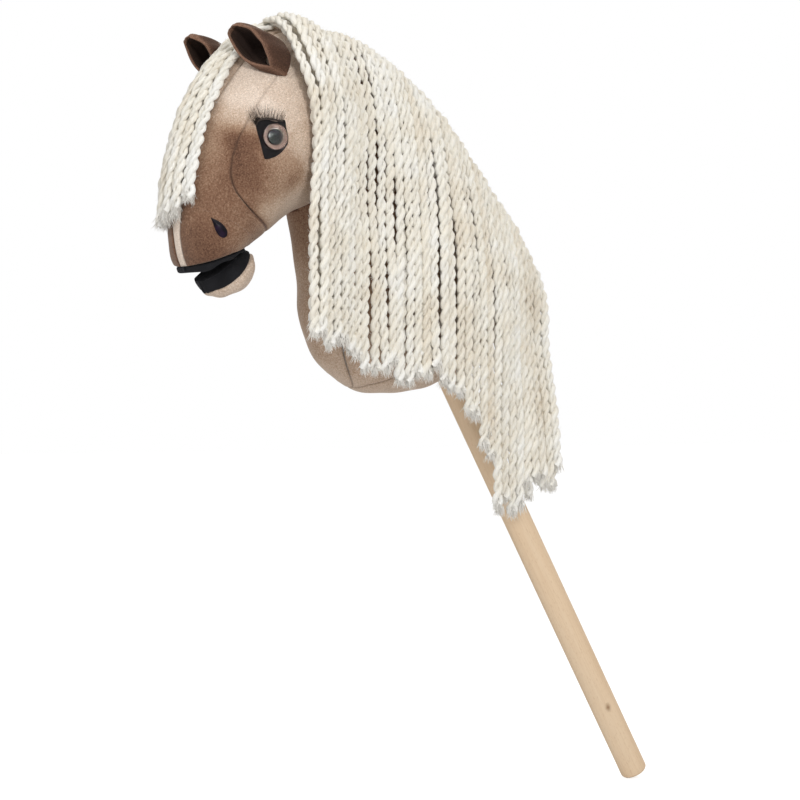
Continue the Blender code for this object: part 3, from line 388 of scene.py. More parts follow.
class Finish(Nodes):
    """A Principled material and the few node moves that this object's finishes need."""

    def __init__(self, name, roughness, specular=0.5, sheen=0.0, sheen_roughness=0.5,
                 sheen_tint=(1.0, 1.0, 1.0)):
        self.material = bpy.data.materials.new(name)
        self.material.use_nodes = True
        super().__init__(self.material.node_tree)
        self.shader = self.tree.nodes["Principled BSDF"]
        self.set(Roughness=roughness, Specular_IOR_Level=specular, Sheen_Weight=sheen,
                 Sheen_Roughness=sheen_roughness, Sheen_Tint=sheen_tint)
        self.place = self.add("ShaderNodeTexCoord").outputs["Object"]

    def set(self, **inputs):
        """Values or links of the shader's own sockets."""
        for key, value in inputs.items():
            if value is not None:
                self.put(value, self.shader.inputs[key.replace("_", " ")])

    def attribute(self, name, output="Fac"):
        return self.add("ShaderNodeAttribute", {"attribute_name": name}).outputs[output]

    def noise(self, scale, detail=2.0, rough=0.5, place=None):
        return self.out("ShaderNodeTexNoise", Vector=place or self.place, Scale=scale, Detail=detail,
                        Roughness=rough)

    def stretch(self, scale, place=None):
        return self.out("ShaderNodeMapping", Vector=place or self.place, Scale=scale)

    def ramp(self, value, stops):
        node = self.add("ShaderNodeValToRGB", Fac=value)
        elements = node.color_ramp.elements
        while len(elements) < len(stops):
            elements.new(0.5)
        for element, (at, color) in zip(elements, stops):
            element.position = at
            element.color = (*color, 1.0)
        return node.outputs["Color"]

    def mix(self, factor, a, b, blend="MIX"):
        node = self.add("ShaderNodeMix", {"data_type": "RGBA", "blend_type": blend})
        for index, value in ((0, factor), (6, a), (7, b)):
            self.put(value, node.inputs[index])
        return node.outputs[2]

    def spread(self, value, low, high, to_low=0.0, to_high=1.0):
        return self.add("ShaderNodeMapRange", Value=value, From_Min=low, From_Max=high, To_Min=to_low,
                        To_Max=to_high).outputs["Result"]

    def gray(self, value):
        """A factor as a gray colour."""
        return self.out("ShaderNodeCombineColor", Red=value, Green=value, Blue=value)

    def bump(self, height, distance, strength=1.0, below=None):
        node = self.add("ShaderNodeBump", Distance=distance, Strength=strength, Height=height)
        if below is not None:
            self.put(below, node.inputs["Normal"])
        return node.outputs["Normal"]

    def done(self, color, normal=None, roughness=None):
        self.set(Base_Color=color, Normal=normal, Roughness=roughness)
        return self.material


def velvet(name, stops, speckle, sheen, tint, spatter=0.16):
    """Short pile velvet, airbrushed by the tone attribute, with sparkling pile and painted shade that darkens
    its seams.
    """
    cloth = Finish(name, 0.86, 0.25, sheen, 0.45, tint)
    tone = cloth.attribute("tone")
    drops = cloth.noise(620.0, 3.0, 0.7)
    clouds = cloth.noise(38.0, 3.0, 0.55)
    shade = cloth.math("ADD", tone, cloth.spread(drops, 0.3, 0.7, -spatter, spatter))
    shade = cloth.math("ADD", shade, cloth.spread(clouds, 0.3, 0.7, -0.05, 0.05), clamp=True)
    color = cloth.ramp(shade, stops)
    pile = cloth.noise(1400.0, 2.0, 0.6)
    sparkle = cloth.spread(pile, 0.35, 0.68, 1.0 - speckle, 1.0 + speckle)
    color = cloth.mix(1.0, color, cloth.gray(sparkle), "MULTIPLY")
    # Painted shade: the seam attribute darkens the colour towards a dark brown along the seams
    seam = cloth.attribute("seam")
    color = cloth.mix(cloth.math("MULTIPLY", seam, SEAM_SHADE_DEPTH), color, (0.03, 0.016, 0.010))
    naps = cloth.noise(230.0, 3.0, 0.6)
    normal = cloth.bump(pile, 0.00035, 0.8)
    normal = cloth.bump(naps, 0.0007, 0.5, normal)
    return cloth.done(color, normal)


def black_cloth(name, color):
    """Black pile or felt: fibres a little lighter than their ground."""
    cloth = Finish(name, 0.9, 0.2, 0.04, 0.4, (0.6, 0.6, 0.7))
    fibres = cloth.noise(900.0, 4.0, 0.75)
    clouds = cloth.noise(70.0, 2.0)
    tint = cloth.mix(fibres, color, tuple(min(c * 3.2 + 0.004, 1.0) for c in color))
    tint = cloth.mix(cloth.spread(clouds, 0.35, 0.7, 0.0, 0.5), tint, tuple(c * 0.6 for c in color))
    return cloth.done(tint, cloth.bump(fibres, 0.0004, 0.9))


def satin_cloth():
    cloth = Finish("dark satin", 0.40, 0.14, 0.02, 0.3, (0.7, 0.5, 0.9))
    weave = cloth.noise(1.0, 3.0, 0.5, cloth.stretch((2600.0, 2600.0, 420.0)))
    glow = cloth.noise(120.0, 2.0)
    color = cloth.mix(cloth.spread(glow, 0.4, 0.65), (0.003, 0.0015, 0.004), (0.015, 0.006, 0.020))
    return cloth.done(color, cloth.bump(weave, 0.0002, 0.5), cloth.spread(weave, 0.3, 0.7, 0.25, 0.42))


def yarn_cloth(name):
    """Crimped cream yarn: fibres that run along each ply, and a tone of its own for each strand."""
    yarn = Finish(name, 0.92, 0.2, 0.30, 0.5, (1.0, 0.97, 0.9))
    lay = yarn.attribute("lay", "Vector")
    run = yarn.attribute("run")
    turn = yarn.out("ShaderNodeVectorRotate", {"rotation_type": "Z_AXIS"}, Vector=lay,
                    Angle=yarn.math("MULTIPLY", run, 330.0))
    drawn = yarn.add("ShaderNodeSeparateXYZ", Vector=turn).outputs
    place = yarn.out("ShaderNodeCombineXYZ", X=drawn["X"], Y=drawn["Y"], Z=yarn.math("MULTIPLY", run, 90.0))
    fibres = yarn.noise(4.2, 3.0, 0.65, place)
    fuzz = yarn.noise(700.0, 3.0, 0.7)
    tone = yarn.attribute("tone")
    clouds = yarn.noise(30.0, 2.0)
    shade = yarn.math("ADD", tone, yarn.spread(fibres, 0.3, 0.7, -0.20, 0.20))
    shade = yarn.math("ADD", shade, yarn.spread(clouds, 0.3, 0.7, -0.22, 0.22), clamp=True)
    color = yarn.ramp(shade, ((0.0, (0.66, 0.56, 0.43)), (0.35, (0.80, 0.73, 0.61)),
                              (0.7, (0.88, 0.84, 0.745)), (1.0, (0.92, 0.905, 0.86))))
    normal = yarn.bump(fibres, 0.0011, 0.8)
    normal = yarn.bump(fuzz, 0.0005, 0.5, normal)
    return yarn.done(color, normal)


def beech_wood():
    """Pale beech: long fine grain, short flecks, a few pin knots, a touch darker in broad bands."""
    wood = Finish("beech", 0.55, 0.4)
    grain = wood.attribute("grain", "Vector")
    bands = wood.noise(1.0, 3.0, 0.5, wood.stretch((55.0, 55.0, 3.0), grain))
    lines = wood.noise(1.0, 4.0, 0.6, wood.stretch((900.0, 900.0, 14.0), grain))
    flecks = wood.noise(1.0, 1.0, 0.5, wood.stretch((1500.0, 1500.0, 240.0), grain))
    color = wood.ramp(bands, ((0.25, (0.70, 0.50, 0.315)), (0.5, (0.775, 0.585, 0.395)),
                              (0.8, (0.81, 0.64, 0.455))))
    color = wood.mix(wood.spread(lines, 0.45, 0.75, 0.0, 0.35), color, (0.62, 0.42, 0.24))
    color = wood.mix(wood.spread(flecks, 0.62, 0.74, 0.0, 0.5), color, (0.55, 0.34, 0.18))
    knot = wood.attribute("knot")
    color = wood.mix(knot, color, (0.26, 0.14, 0.065))
    normal = wood.bump(lines, 0.0002, 0.5)
    return wood.done(color, normal, wood.spread(lines, 0.3, 0.7, 0.48, 0.62))


def iris_plastic():
    """A brown ring with fine spokes round a black pupil, with a dark outer edge."""
    eye = Finish("eye plastic", 0.45, 0.01)
    spoke = eye.attribute("spoke", "Vector")
    radius = eye.attribute("radius")
    rays = eye.noise(1.0, 3.0, 0.6, eye.stretch((9.0, 9.0, 1.2), spoke))
    ring = eye.ramp(radius, ((0.0, (0.002, 0.0018, 0.0018)), (0.60, (0.002, 0.0018, 0.0018)),
                             (0.625, (0.048, 0.031, 0.025)), (0.80, (0.092, 0.063, 0.051)),
                             (0.90, (0.074, 0.048, 0.038)), (0.955, (0.015, 0.010, 0.008)),
                             (1.0, (0.010, 0.007, 0.006))))
    color = eye.mix(1.0, ring, eye.gray(eye.spread(rays, 0.3, 0.7, 0.82, 1.15)), "MULTIPLY")
    return eye.done(color, eye.bump(rays, 0.0001, 0.3))


def clear_plastic():
    clear = Finish("clear plastic", 0.02, 0.11)
    clear.set(Transmission_Weight=1.0, IOR=1.20)
    tiny = clear.noise(90.0, 1.0)
    color = clear.mix(tiny, (0.985, 0.985, 0.985), (1.0, 1.0, 1.0))
    return clear.done(color, clear.bump(tiny, 0.00002, 0.2))


def bristle():
    hair = Finish("lash bristle", 0.55, 0.4)
    streak = hair.noise(500.0, 2.0)
    return hair.done(hair.mix(streak, (0.010, 0.007, 0.005), (0.050, 0.032, 0.022)))


def woven_tape():
    tape = Finish("cotton tape", 0.9, 0.2, 0.2)
    weave = tape.add("ShaderNodeTexWave", Vector=tape.place, Scale=420.0).outputs["Fac"]
    speck = tape.noise(800.0)
    color = tape.mix(speck, (0.70, 0.65, 0.55), (0.82, 0.78, 0.68))
    return tape.done(color, tape.bump(weave, 0.0003, 0.6))


def loose_filling():
    fill = Finish("polyester filling", 0.95, 0.2, 0.3)
    fluff = fill.noise(260.0, 5.0, 0.75)
    return fill.done(fill.mix(fluff, (0.72, 0.72, 0.71), (0.93, 0.93, 0.92)), fill.bump(fluff, 0.0015, 0.7))


def plain_finish(name, low, high, roughness, metallic=0.0, grain=600.0, depth=0.0002):
    """A moulded or plated finish with a fine mottled grain."""
    made = Finish(name, roughness, 0.5)
    made.set(Metallic=metallic)
    mottle = made.noise(grain, 3.0, 0.6)
    return made.done(made.mix(mottle, low, high), made.bump(mottle, depth, 0.4),
                     made.spread(mottle, 0.3, 0.7, roughness * 0.85, roughness * 1.15))


# Stuffed shapes

def smooth_between(table, place):
    """Rows of a table, joined by one smooth curve, at fractional row numbers."""
    table = np.asarray(table, float)
    last = len(table) - 1
    place = np.clip(place, 0.0, last)
    index = np.minimum(place.astype(int), last - 1)
    t = (place - index)[..., None]
    b, c = table[index], table[index + 1]
    a = np.where((index > 0)[..., None], table[np.maximum(index - 1, 0)], b)
    d = np.where((index + 2 <= last)[..., None], table[np.minimum(index + 2, last)], c)
    return 0.5 * (2.0 * b + (c - a) * t + (2.0 * a - 5.0 * b + 4.0 * c - d) * t * t
                  + (3.0 * b - a - 3.0 * c + d) * t ** 3)


def hump(offset, width):
    """A bell of height 1 round an offset of 0."""
    return np.exp(-(offset / width) ** 2)


def smoothed(line, times):
    """A line of points, its inner ones drawn towards the middle of their neighbours."""
    for _ in range(times):
        line[1:-1] = (line[:-2] + 2.0 * line[1:-1] + line[2:]) / 4.0
    return line


def quarter_turn(steps):
    """Angles in equal steps from 0 to a right angle."""
    return [math.pi / 2.0 * step / steps for step in range(steps + 1)]


def unit(vectors):
    return vectors / np.maximum(np.linalg.norm(vectors, axis=-1, keepdims=True), 1e-12)


class SoftForm:
    """A stuffed shape: oval sections along a straight axis, closed past both ends by low domes."""

    def __init__(self, origin, axis, forward, sections):
        self.origin = np.asarray(origin, float)
        self.axis = np.asarray(axis, float)
        self.forward = np.asarray(forward, float)
        self.side = np.array((0.0, LEFT, 0.0))
        self.sections = sections

    def section(self, share):
        """Along, reach to the front, reach to the back and half width."""
        return smooth_between(self.sections, np.asarray(share, float) * (len(self.sections) - 1))

    def share_at(self, along):
        shares = np.linspace(0.0, 1.0, 2001)
        return float(np.interp(along, self.section(shares)[:, 0], shares))

    def flat(self, share, angle):
        """Surface points; shares past 0 and 1 run over the end domes to their poles."""
        share, angle = np.broadcast_arrays(np.asarray(share, float), np.asarray(angle, float))
        s = self.section(share)
        over = np.clip(np.maximum(share - 1.0, -share) / DOME_SPAN, 0.0, 1.0) * math.pi / 2.0
        along = s[..., 0] + np.where(share > 0.5, 1.0, -1.0) * DOME_RISE * s[..., 3] * np.sin(over)
        depth, centre = (s[..., 1] + s[..., 2]) / 2.0 * np.cos(over), (s[..., 1] - s[..., 2]) / 2.0
        return (self.origin + self.axis * along[..., None]
                + self.forward * (centre + depth * np.cos(angle))[..., None]
                + self.side * (s[..., 3] * np.cos(over) * np.sin(angle))[..., None])

    def normal(self, share, angle):
        share, angle = np.broadcast_arrays(np.asarray(share, float), np.asarray(angle, float))
        low, high = np.maximum(share - 0.003, -DOME_SPAN), np.minimum(share + 0.003, 1.0 + DOME_SPAN)
        along = self.flat(high, angle) - self.flat(low, angle)
        across = self.flat(share, angle + 0.01) - self.flat(share, angle - 0.01)
        raw = np.cross(along, across)
        away = self.flat(share, angle) - self.flat(share, angle + math.pi)
        raw = raw * np.where(np.sum(raw * away, axis=-1, keepdims=True) < 0.0, -1.0, 1.0)
        poles = (np.linalg.norm(across, axis=-1) < 1.0e-6)[..., None]
        return unit(np.where(poles, self.axis * np.where(share > 0.5, 1.0, -1.0)[..., None], raw))

    def point(self, share, angle, proud=0.0):
        return self.flat(share, angle) + self.normal(share, angle) * np.asarray(proud, float)[..., None]

    def angle_at_forward(self, share, forward):
        """The angle at which a section has a forward reach."""
        s = self.section(share)
        depth, centre = (s[..., 1] + s[..., 2]) / 2.0, (s[..., 1] - s[..., 2]) / 2.0
        return np.arccos(np.clip((forward - centre) / depth, -1.0, 1.0))

    def angle_for(self, share, half):
        """The angle from the front at which a section is half wide."""
        return np.arcsin(np.minimum(half / self.section(share)[..., 3], 0.92))


def whole_form(form, proud, rings=56, around=80):
    """Vertices and faces of the whole shape, closed."""
    shares = np.concatenate(([-DOME_SPAN], np.linspace(0.0, 1.0, rings), [1.0 + DOME_SPAN]))
    angles = np.linspace(0.0, 2.0 * math.pi, around, endpoint=False)
    ring = form.point(shares[1:-1, None], angles[None, :], np.full((rings, around), proud)).reshape(-1, 3)
    poles = [form.point(shares[k], 0.0, np.array(proud)) for k in (0, -1)]
    faces = grid_faces(rings, around, 0, closed=True)
    count = rings * around
    for start, pole in ((0, count), (count - around, count + 1)):
        faces += [(start + j, start + (j + 1) % around, pole) for j in range(around)]
    return np.concatenate((ring, poles)), faces


def grid_faces(rows, columns, start=0, closed=False):
    """Quads between the rows of a grid of points, whose rows may close into rings."""
    faces = []
    for i in range(rows - 1):
        for j in range(columns if closed else columns - 1):
            k = (j + 1) % columns
            faces.append((start + i * columns + j, start + i * columns + k,
                          start + (i + 1) * columns + k, start + (i + 1) * columns + j))
    return faces


def tree_of(*shapes):
    verts, faces = [], []
    for shape_verts, shape_faces in shapes:
        start = len(verts)
        verts += [Vector(v) for v in shape_verts]
        faces += [[start + i for i in face] for face in shape_faces]
    return BVHTree.FromPolygons(verts, faces)


HEAD = SoftForm(POLL, HEAD_AXIS, HEAD_FORWARD, HEAD_SECTIONS)
NECK = SoftForm(NECK_BASE, STICK_AXIS, -STICK_BACK, NECK_SECTIONS)
LIP = np.array((-math.cos(LIP_SLOPE + LIP_SAG), 0.0, -math.sin(LIP_SLOPE + LIP_SAG)))
LIP_UP = np.array((-math.sin(LIP_SLOPE + LIP_SAG), 0.0, math.cos(LIP_SLOPE + LIP_SAG)))
HINGE_UP = np.array((-math.sin(LIP_SLOPE), 0.0, math.cos(LIP_SLOPE)))
CORNER = POLL + HEAD_AXIS * MOUTH_CORNER[0] + HEAD_FORWARD * MOUTH_CORNER[1]
JAW = SoftForm(CORNER - HINGE_UP * (PALATE_PAD + MOUTH_SLIT + JAW_DROP),
               (-math.cos(JAW_SLOPE), 0.0, -math.sin(JAW_SLOPE)),
               (-math.sin(JAW_SLOPE), 0.0, math.cos(JAW_SLOPE)), JAW_SECTIONS)
HEAD_TREE = tree_of(whole_form(HEAD, SKIN))
WHOLE_TREE = tree_of(whole_form(HEAD, SKIN), whole_form(NECK, SKIN))


# Meshes

def keep_values(mesh, values, vectors):
    """Named attributes of a mesh: a number or a vector for each point."""
    for kind, field, table in (("FLOAT", "value", values), ("FLOAT_VECTOR", "vector", vectors)):
        for key, data in (table or {}).items():
            layer = mesh.attributes.new(key, kind, "POINT")
            layer.data.foreach_set(field, np.asarray(data, np.float32).ravel())


def new_piece(name, verts, faces, material, values=None, vectors=None):
    """A smooth mesh object from points and faces, with named point attributes and its faces pointing out."""
    mesh = bpy.data.meshes.new(name)
    mesh.from_pydata([tuple(v) for v in verts], [], [tuple(f) for f in faces])
    keep_values(mesh, values, vectors)
    bm = bmesh.new()
    bm.from_mesh(mesh)
    bmesh.ops.remove_doubles(bm, verts=bm.verts, dist=0.000002)
    bmesh.ops.recalc_face_normals(bm, faces=bm.faces)
    bm.to_mesh(mesh)
    bm.free()
    mesh.shade_smooth()
    if material is not None:
        mesh.materials.append(material)
    return linked(name, mesh)


def dress(obj, body, slot, *nodes):
    """Puts a finished piece on its body, in place of its CAD nodes."""
    if nodes:
        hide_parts(*nodes)
    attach(obj, body)
    return obj


class Shell:
    """Collects closed cloth shells into one mesh with its tone and its seam values, which carry the painted
    seam shade.
    """

    def __init__(self):
        self.verts, self.faces, self.tone, self.seam = [], [], [], []

    def add(self, outer, inner, tone, seam):
        """A closed slab between two grids of points."""
        rows, columns = outer.shape[:2]
        count = rows * columns
        start = len(self.verts)
        self.verts += list(outer.reshape(-1, 3)) + list(inner.reshape(-1, 3))
        self.tone += list(np.asarray(tone).ravel()) * 2
        self.seam += list(np.asarray(seam).ravel()) * 2
        self.faces += grid_faces(rows, columns, start)
        self.faces += grid_faces(rows, columns, start + count)
        rims = ([i * columns for i in range(rows)], [i * columns + columns - 1 for i in range(rows)],
                list(range(columns)), [count - columns + j for j in range(columns)])
        for rim in rims:
            for a, b in zip(rim, rim[1:]):
                self.faces.append((start + a, start + b, start + count + b, start + count + a))

    def piece(self, name, material):
        return new_piece(name, self.verts, self.faces, material, {"tone": self.tone, "seam": self.seam})


def close_to_edges(count, fine=(0.0, 0.004, 0.009, 0.016, 0.026, 0.040)):
    """Steps from 0 to 1 that crowd at both ends, where cloth rolls into its seams."""
    high = [1.0 - f for f in reversed(fine)]
    return np.array(list(fine) + list(np.linspace(fine[-1], high[0], count + 1)[1:-1]) + high)


def edge_distance(points, round_ways=False):
    """How far each grid point is from the grid's edges, along the cloth; a round grid has two edges."""
    rows, columns = points.shape[:2]
    near = np.full((rows, columns), 1.0)
    for axis in ((0,) if round_ways else (0, 1)):
        line = np.linalg.norm(np.diff(points, axis=axis), axis=-1)
        zero = np.zeros((1, columns)) if axis == 0 else np.zeros((rows, 1))
        start = np.concatenate((zero, np.cumsum(line, axis=axis)), axis=axis)
        total = start[-1:, :] if axis == 0 else start[:, -1:]
        near = np.minimum(near, np.minimum(start, total - start))
    return near


def ripples(points, height, *ways):
    """Waves over the cloth, one along each way, multiplied."""
    for way in ways:
        height = height * np.sin(points @ np.array(way))
    return height


def panel(shell, form, shares, angles, tone_of, relief, rooms=()):
    """A sewn panel over a grid of shares and angles; its edges roll down into the seams."""
    base = form.flat(shares, angles)
    near = edge_distance(base)
    edge = hump(near, ROLL_WIDTH)
    normal = form.normal(shares, angles)
    lift = SKIN - ROLL_DEPTH * edge + relief(base) * (1.0 - edge)
    wave = ripples(base, 1.0, (410.0, 300.0, 520.0), (-260.0, 510.0, 330.0))
    lift = lift + PUCKER * wave * np.exp(-near / PUCKER_REACH) * (1.0 - edge)
    outer, inner = base + normal * lift[..., None], base + normal * GAP / 3.0
    if rooms:
        outer = kept_below(outer, form.forward, rooms, GAP)
        inner = kept_below(inner, form.forward, rooms, GAP + VELVET)
    tone = tone_of(base)
    # The seam value is painted shade: darker along the rolled edges, weaker on pale tone
    shell.add(outer, inner, tone, hump(near, SEAM_SHADE_WIDTH) * np.clip(SEAM_SHADE_FADE - tone, 0.35, 1.0))


def between(left, right, rows, columns):
    """Shares and angles of a grid ruled between two curves of (share, angle)."""
    def along(curve):
        curve = np.asarray(curve, float)
        steps = np.linalg.norm(np.diff(curve * (1.0, 0.14), axis=0), axis=1)
        length = np.concatenate(([0.0], np.cumsum(steps)))
        at = close_to_edges(rows) * length[-1]
        return np.stack([np.interp(at, length, curve[:, k]) for k in range(2)], axis=1)

    a, b = along(left), along(right)
    grid = a[:, None, :] + (b - a)[:, None, :] * close_to_edges(columns)[None, :, None]
    return grid[..., 0], grid[..., 1]


def cut_by(obj, shapes):
    """Cuts a piece by closed shapes, leaving no cutter behind."""
    cutters = []
    for verts, faces in shapes:
        cutter = new_piece("cutter", verts, faces, None)
        modifier = obj.modifiers.new("cut", "BOOLEAN")
        modifier.operation = "DIFFERENCE"
        modifier.solver = "EXACT"
        modifier.object = cutter
        cutters.append(cutter)
    bpy.context.view_layer.update()
    graph = bpy.context.evaluated_depsgraph_get()
    made = bpy.data.meshes.new_from_object(obj.evaluated_get(graph), depsgraph=graph)
    obj.modifiers.clear()
    obj.data = made
    for cutter in cutters:
        bpy.data.objects.remove(cutter)
    return obj


def swung(shape, pivot, axis, turns):
    """A closed shape turned back about a hinge, so that what it cuts clears it over the hinge's range."""
    verts, faces = shape
    made = []
    for turn in turns:
        matrix = (Matrix.Translation(Vector(pivot)) @ Matrix.Rotation(-turn, 4, Vector(axis))
                  @ Matrix.Translation(-Vector(pivot)))
        made.append(([matrix @ Vector(v) for v in verts], faces))
    return made


def turned(profile, place, axis, around=64):
    """Points, faces and (radius, height, angle) of a turned solid from (radius, height) pairs."""
    axis = Vector(axis).normalized()
    frame_of = axis.to_track_quat("Z", "Y").to_matrix().to_4x4()
    frame_of.translation = Vector(place)
    verts, values, loops = [], [], []
    for radius, height in profile:
        count = 1 if radius <= 0.0 else around
        loop = []
        for j in range(count):
            turn = 2.0 * math.pi * j / around
            loop.append(len(verts))
            verts.append(frame_of @ Vector((radius * math.cos(turn), radius * math.sin(turn), height)))
            values.append((radius, height, turn))
        loops.append(loop)
    faces = []
    for first, second in zip(loops, loops[1:]):
        for j in range(around):
            k = (j + 1) % around
            if len(first) == 1 and len(second) > 1:
                faces.append((first[0], second[j], second[k]))
            elif len(second) == 1 and len(first) > 1:
                faces.append((first[j], first[k], second[0]))
            elif len(first) > 1:
                faces.append((first[j], first[k], second[k], second[j]))
    return verts, faces, np.array(values)


def rounded(profile, eased, steps=4):
    """A profile with its inner corners rounded off."""
    made = [profile[0]]
    for before, corner, after in zip(profile, profile[1:], profile[2:]):
        c = np.array(corner)
        a, b = np.array(before) - c, np.array(after) - c
        reach = min(eased, 0.45 * np.linalg.norm(a), 0.45 * np.linalg.norm(b))
        a, b = a / np.linalg.norm(a) * reach, b / np.linalg.norm(b) * reach
        for k in range(steps + 1):
            t = k / steps
            made.append(tuple(c + a * (1.0 - t) ** 2 + b * t ** 2))
    return made + [profile[-1]]


# The velvet's colour, painted in soft patches: distance from the poll, reach to the face, tone
HEAD_PAINT = (
    (0.015, 0.030, 0.88), (0.015, -0.030, 0.78), (0.050, 0.030, 0.90), (0.079, 0.056, 0.93),
    (0.084, 0.030, 0.96), (0.066, 0.022, 0.85), (0.080, 0.004, 0.86), (0.060, -0.020, 0.80),
    (0.060, -0.060, 0.74), (0.095, -0.040, 0.74), (0.100, -0.014, 0.76), (0.104, 0.034, 0.76),
    (0.107, 0.060, 0.62), (0.122, 0.031, 0.08), (0.124, 0.058, 0.46), (0.136, 0.024, 0.16),
    (0.141, 0.050, 0.46), (0.159, 0.046, 0.34), (0.150, 0.020, 0.10), (0.157, 0.009, 0.22),
    (0.143, -0.014, 0.50), (0.120, -0.060, 0.66), (0.150, -0.050, 0.76), (0.165, -0.030, 0.72),
    (0.173, -0.020, 0.66), (0.165, 0.026, 0.28), (0.165, 0.003, 0.24), (0.174, 0.014, 0.20),
    (0.190, 0.036, 0.24), (0.185, 0.005, 0.30), (0.188, -0.020, 0.10), (0.201, -0.007, 0.34),
    (0.200, -0.026, 0.40), (0.222, 0.019, 0.16), (0.212, 0.001, 0.29), (0.223, -0.002, 0.10),
    (0.236, 0.010, 0.15), (0.118, 0.000, 0.54), (0.139, 0.006, 0.24), (0.128, -0.009, 0.44),
    (0.154, -0.008, 0.40),
)
PAINT_REACH = 0.0125
# The drawn-in lower end of the cheek seam, and a darker spot beside it, in the same two measures
CREASE = ((0.1706, 0.0120), (0.1753, -0.0001), (0.1779, -0.0143), (0.1776, -0.0331), (0.1768, -0.0460))
CHEEK_SPOT = (0.1338, -0.0317)
CHEEK_SPOT_REACH = 0.0105


def head_frame(points):
    """Distance of points from the poll and their reach to the face."""
    away = points - POLL
    return away @ HEAD_AXIS, away @ HEAD_FORWARD


def crease(points, width):
    """How much of the drawn-in lower end of the cheek seam is at a place, from 0 to 1."""
    along, forward = head_frame(points)
    line = np.interp(-forward, [-f for _, f in CREASE], [a for a, _ in CREASE])
    depth = np.clip((0.008 - forward) / 0.020, 0.0, 1.0) * np.clip((forward + 0.046) / 0.008, 0.0, 1.0)
    return depth * hump(along - line, width)


def spot_round(along, forward, middle, reach):
    """A soft round spot on the head, 1 in its middle."""
    return np.exp(-((along - middle[0]) ** 2 + (forward - middle[1]) ** 2) / reach ** 2)


def head_tone(points):
    """Pale forehead and cheek, brown bridge, dark muzzle, as the airbrush left them, and painted shade along
    the drawn-in crease.
    """
    along, forward = head_frame(points)
    total, weight = np.zeros(along.shape), np.full(along.shape, 1.0e-9)
    for a, f, tone in HEAD_PAINT:
        near = spot_round(along, forward, (a, f), PAINT_REACH)
        total, weight = total + near * tone, weight + near
    tone = total / weight
    spot = spot_round(along, forward, CHEEK_SPOT, CHEEK_SPOT_REACH)
    # Painted shade: the drawn-in crease at the cheek seam's lower end is darkened in a narrow and a broad
    # band
    drawn = 0.45 * crease(points, 0.0012)
    return np.clip(tone - 0.13 * spot - drawn - 0.08 * crease(points, 0.005), 0.02, 1.0)


def strip_tone(points):
    """The strip over forehead and nose: pale, and palest at the lip."""
    along, _ = head_frame(points)
    return 0.74 + 0.22 * np.clip((along - 0.17) / 0.04, 0.0, 1.0)


def neck_shade(plain, lighter, middle, width, darker):
    """A tone up the neck: lighter round a height near its base, darker in the shade of the cheek."""
    def tone(points):
        height = (points - NECK_BASE) @ STICK_AXIS
        shaded = np.clip((height - 0.16) / 0.09, 0.0, 1.0)
        return np.clip(plain + lighter * hump(height - middle, width) - darker * shaded, 0.04, 1.0)

    return tone


def even_tone(value):
    """The same tone all over."""
    return lambda points: np.full(points.shape[:-1], value)


def head_relief(points):
    """Gentle unevenness of the stuffing, flat where eyes and nostrils lie."""
    along, forward = head_frame(points)
    bump = 0.0012 * np.exp(-(((along - 0.160) / 0.018) ** 2 + (forward / 0.03) ** 2))
    dip = -0.0010 * np.exp(-(((along - 0.132) / 0.016) ** 2 + ((forward - 0.034) / 0.010) ** 2))
    lumps = ripples(points, 0.0005, (95.0, 60.0, 120.0), (-70.0, 90.0, 85.0))
    eye = spot_round(along, forward, (EYE_ALONG, EYE_FORWARD), 0.021)
    nose = spot_round(along, forward, (NOSTRIL_ALONG, NOSTRIL_FORWARD), 0.014)
    flat = np.clip(1.0 - 1.6 * eye - 1.6 * nose, 0.0, 1.0)
    return (bump + dip + lumps) * flat - 0.0010 * crease(points, 0.0024)


def neck_relief(points):
    return (ripples(points, 0.0009, (62.0, 40.0, 75.0), (-50.0, 66.0, 58.0))
            + ripples(points, 0.0004, (150.0, -90.0, 120.0)))


# Head

def cheek_seam():
    """The seam from the poll, behind the ear and past the eye to the jowl, as shares and angles."""
    seen = np.asarray(CHEEK_SEAM)
    shares = np.array([HEAD.share_at(a) for a in seen[:, 0]])
    seen = np.stack((shares, HEAD.angle_at_forward(shares, seen[:, 1])), axis=1)
    hidden = [(-DOME_SPAN, 1.55), (0.0, 1.55), (HEAD.share_at(0.004), 1.40), (HEAD.share_at(0.014), 1.18),
              (HEAD.share_at(0.030), 1.05)]
    curve = np.concatenate((hidden, seen, [(HEAD.share_at(0.1765), math.pi)]))
    return smooth_between(curve, np.linspace(0.0, len(curve) - 1.0, 130))


def face_edge(share):
    """Half angle of the strip over forehead and nose."""
    wide, narrow = FACE_GUSSET_HALF
    ease = np.clip((share - 0.35) / 0.5, 0.0, 1.0)
    return HEAD.angle_for(np.maximum(share, 0.0), wide + (narrow - wide) * ease)


def lip_share(angle):
    """The share at which the upper lip's plane cuts the head at an angle."""
    shares = np.linspace(HEAD.share_at(0.19), 1.0, 800)
    points = HEAD.flat(shares, np.full(800, angle))
    below = (points - CORNER) @ LIP_UP < 0.0
    return float(shares[np.argmax(below)]) if below.any() else 1.0


def lip_curve():
    """Where the lip's plane meets the head, from the jowl to the strip on the nose."""
    angles = np.linspace(math.pi, 0.25, 160)
    curve = [(lip_share(a), a) for a in angles]
    kept = [(s, a) for s, a in curve if a > face_edge(np.array(s))]
    last = kept[-1][0]
    return np.array(kept + [(last, float(face_edge(np.array(last))))])


def ruled(shares, left, right, columns):
    """Shares and angles of a grid whose rows run from one angle to another at each share."""
    steps = close_to_edges(columns)[None, :]
    return np.repeat(shares[:, None], steps.shape[1], axis=1), left[:, None] + (right - left)[:, None] * steps


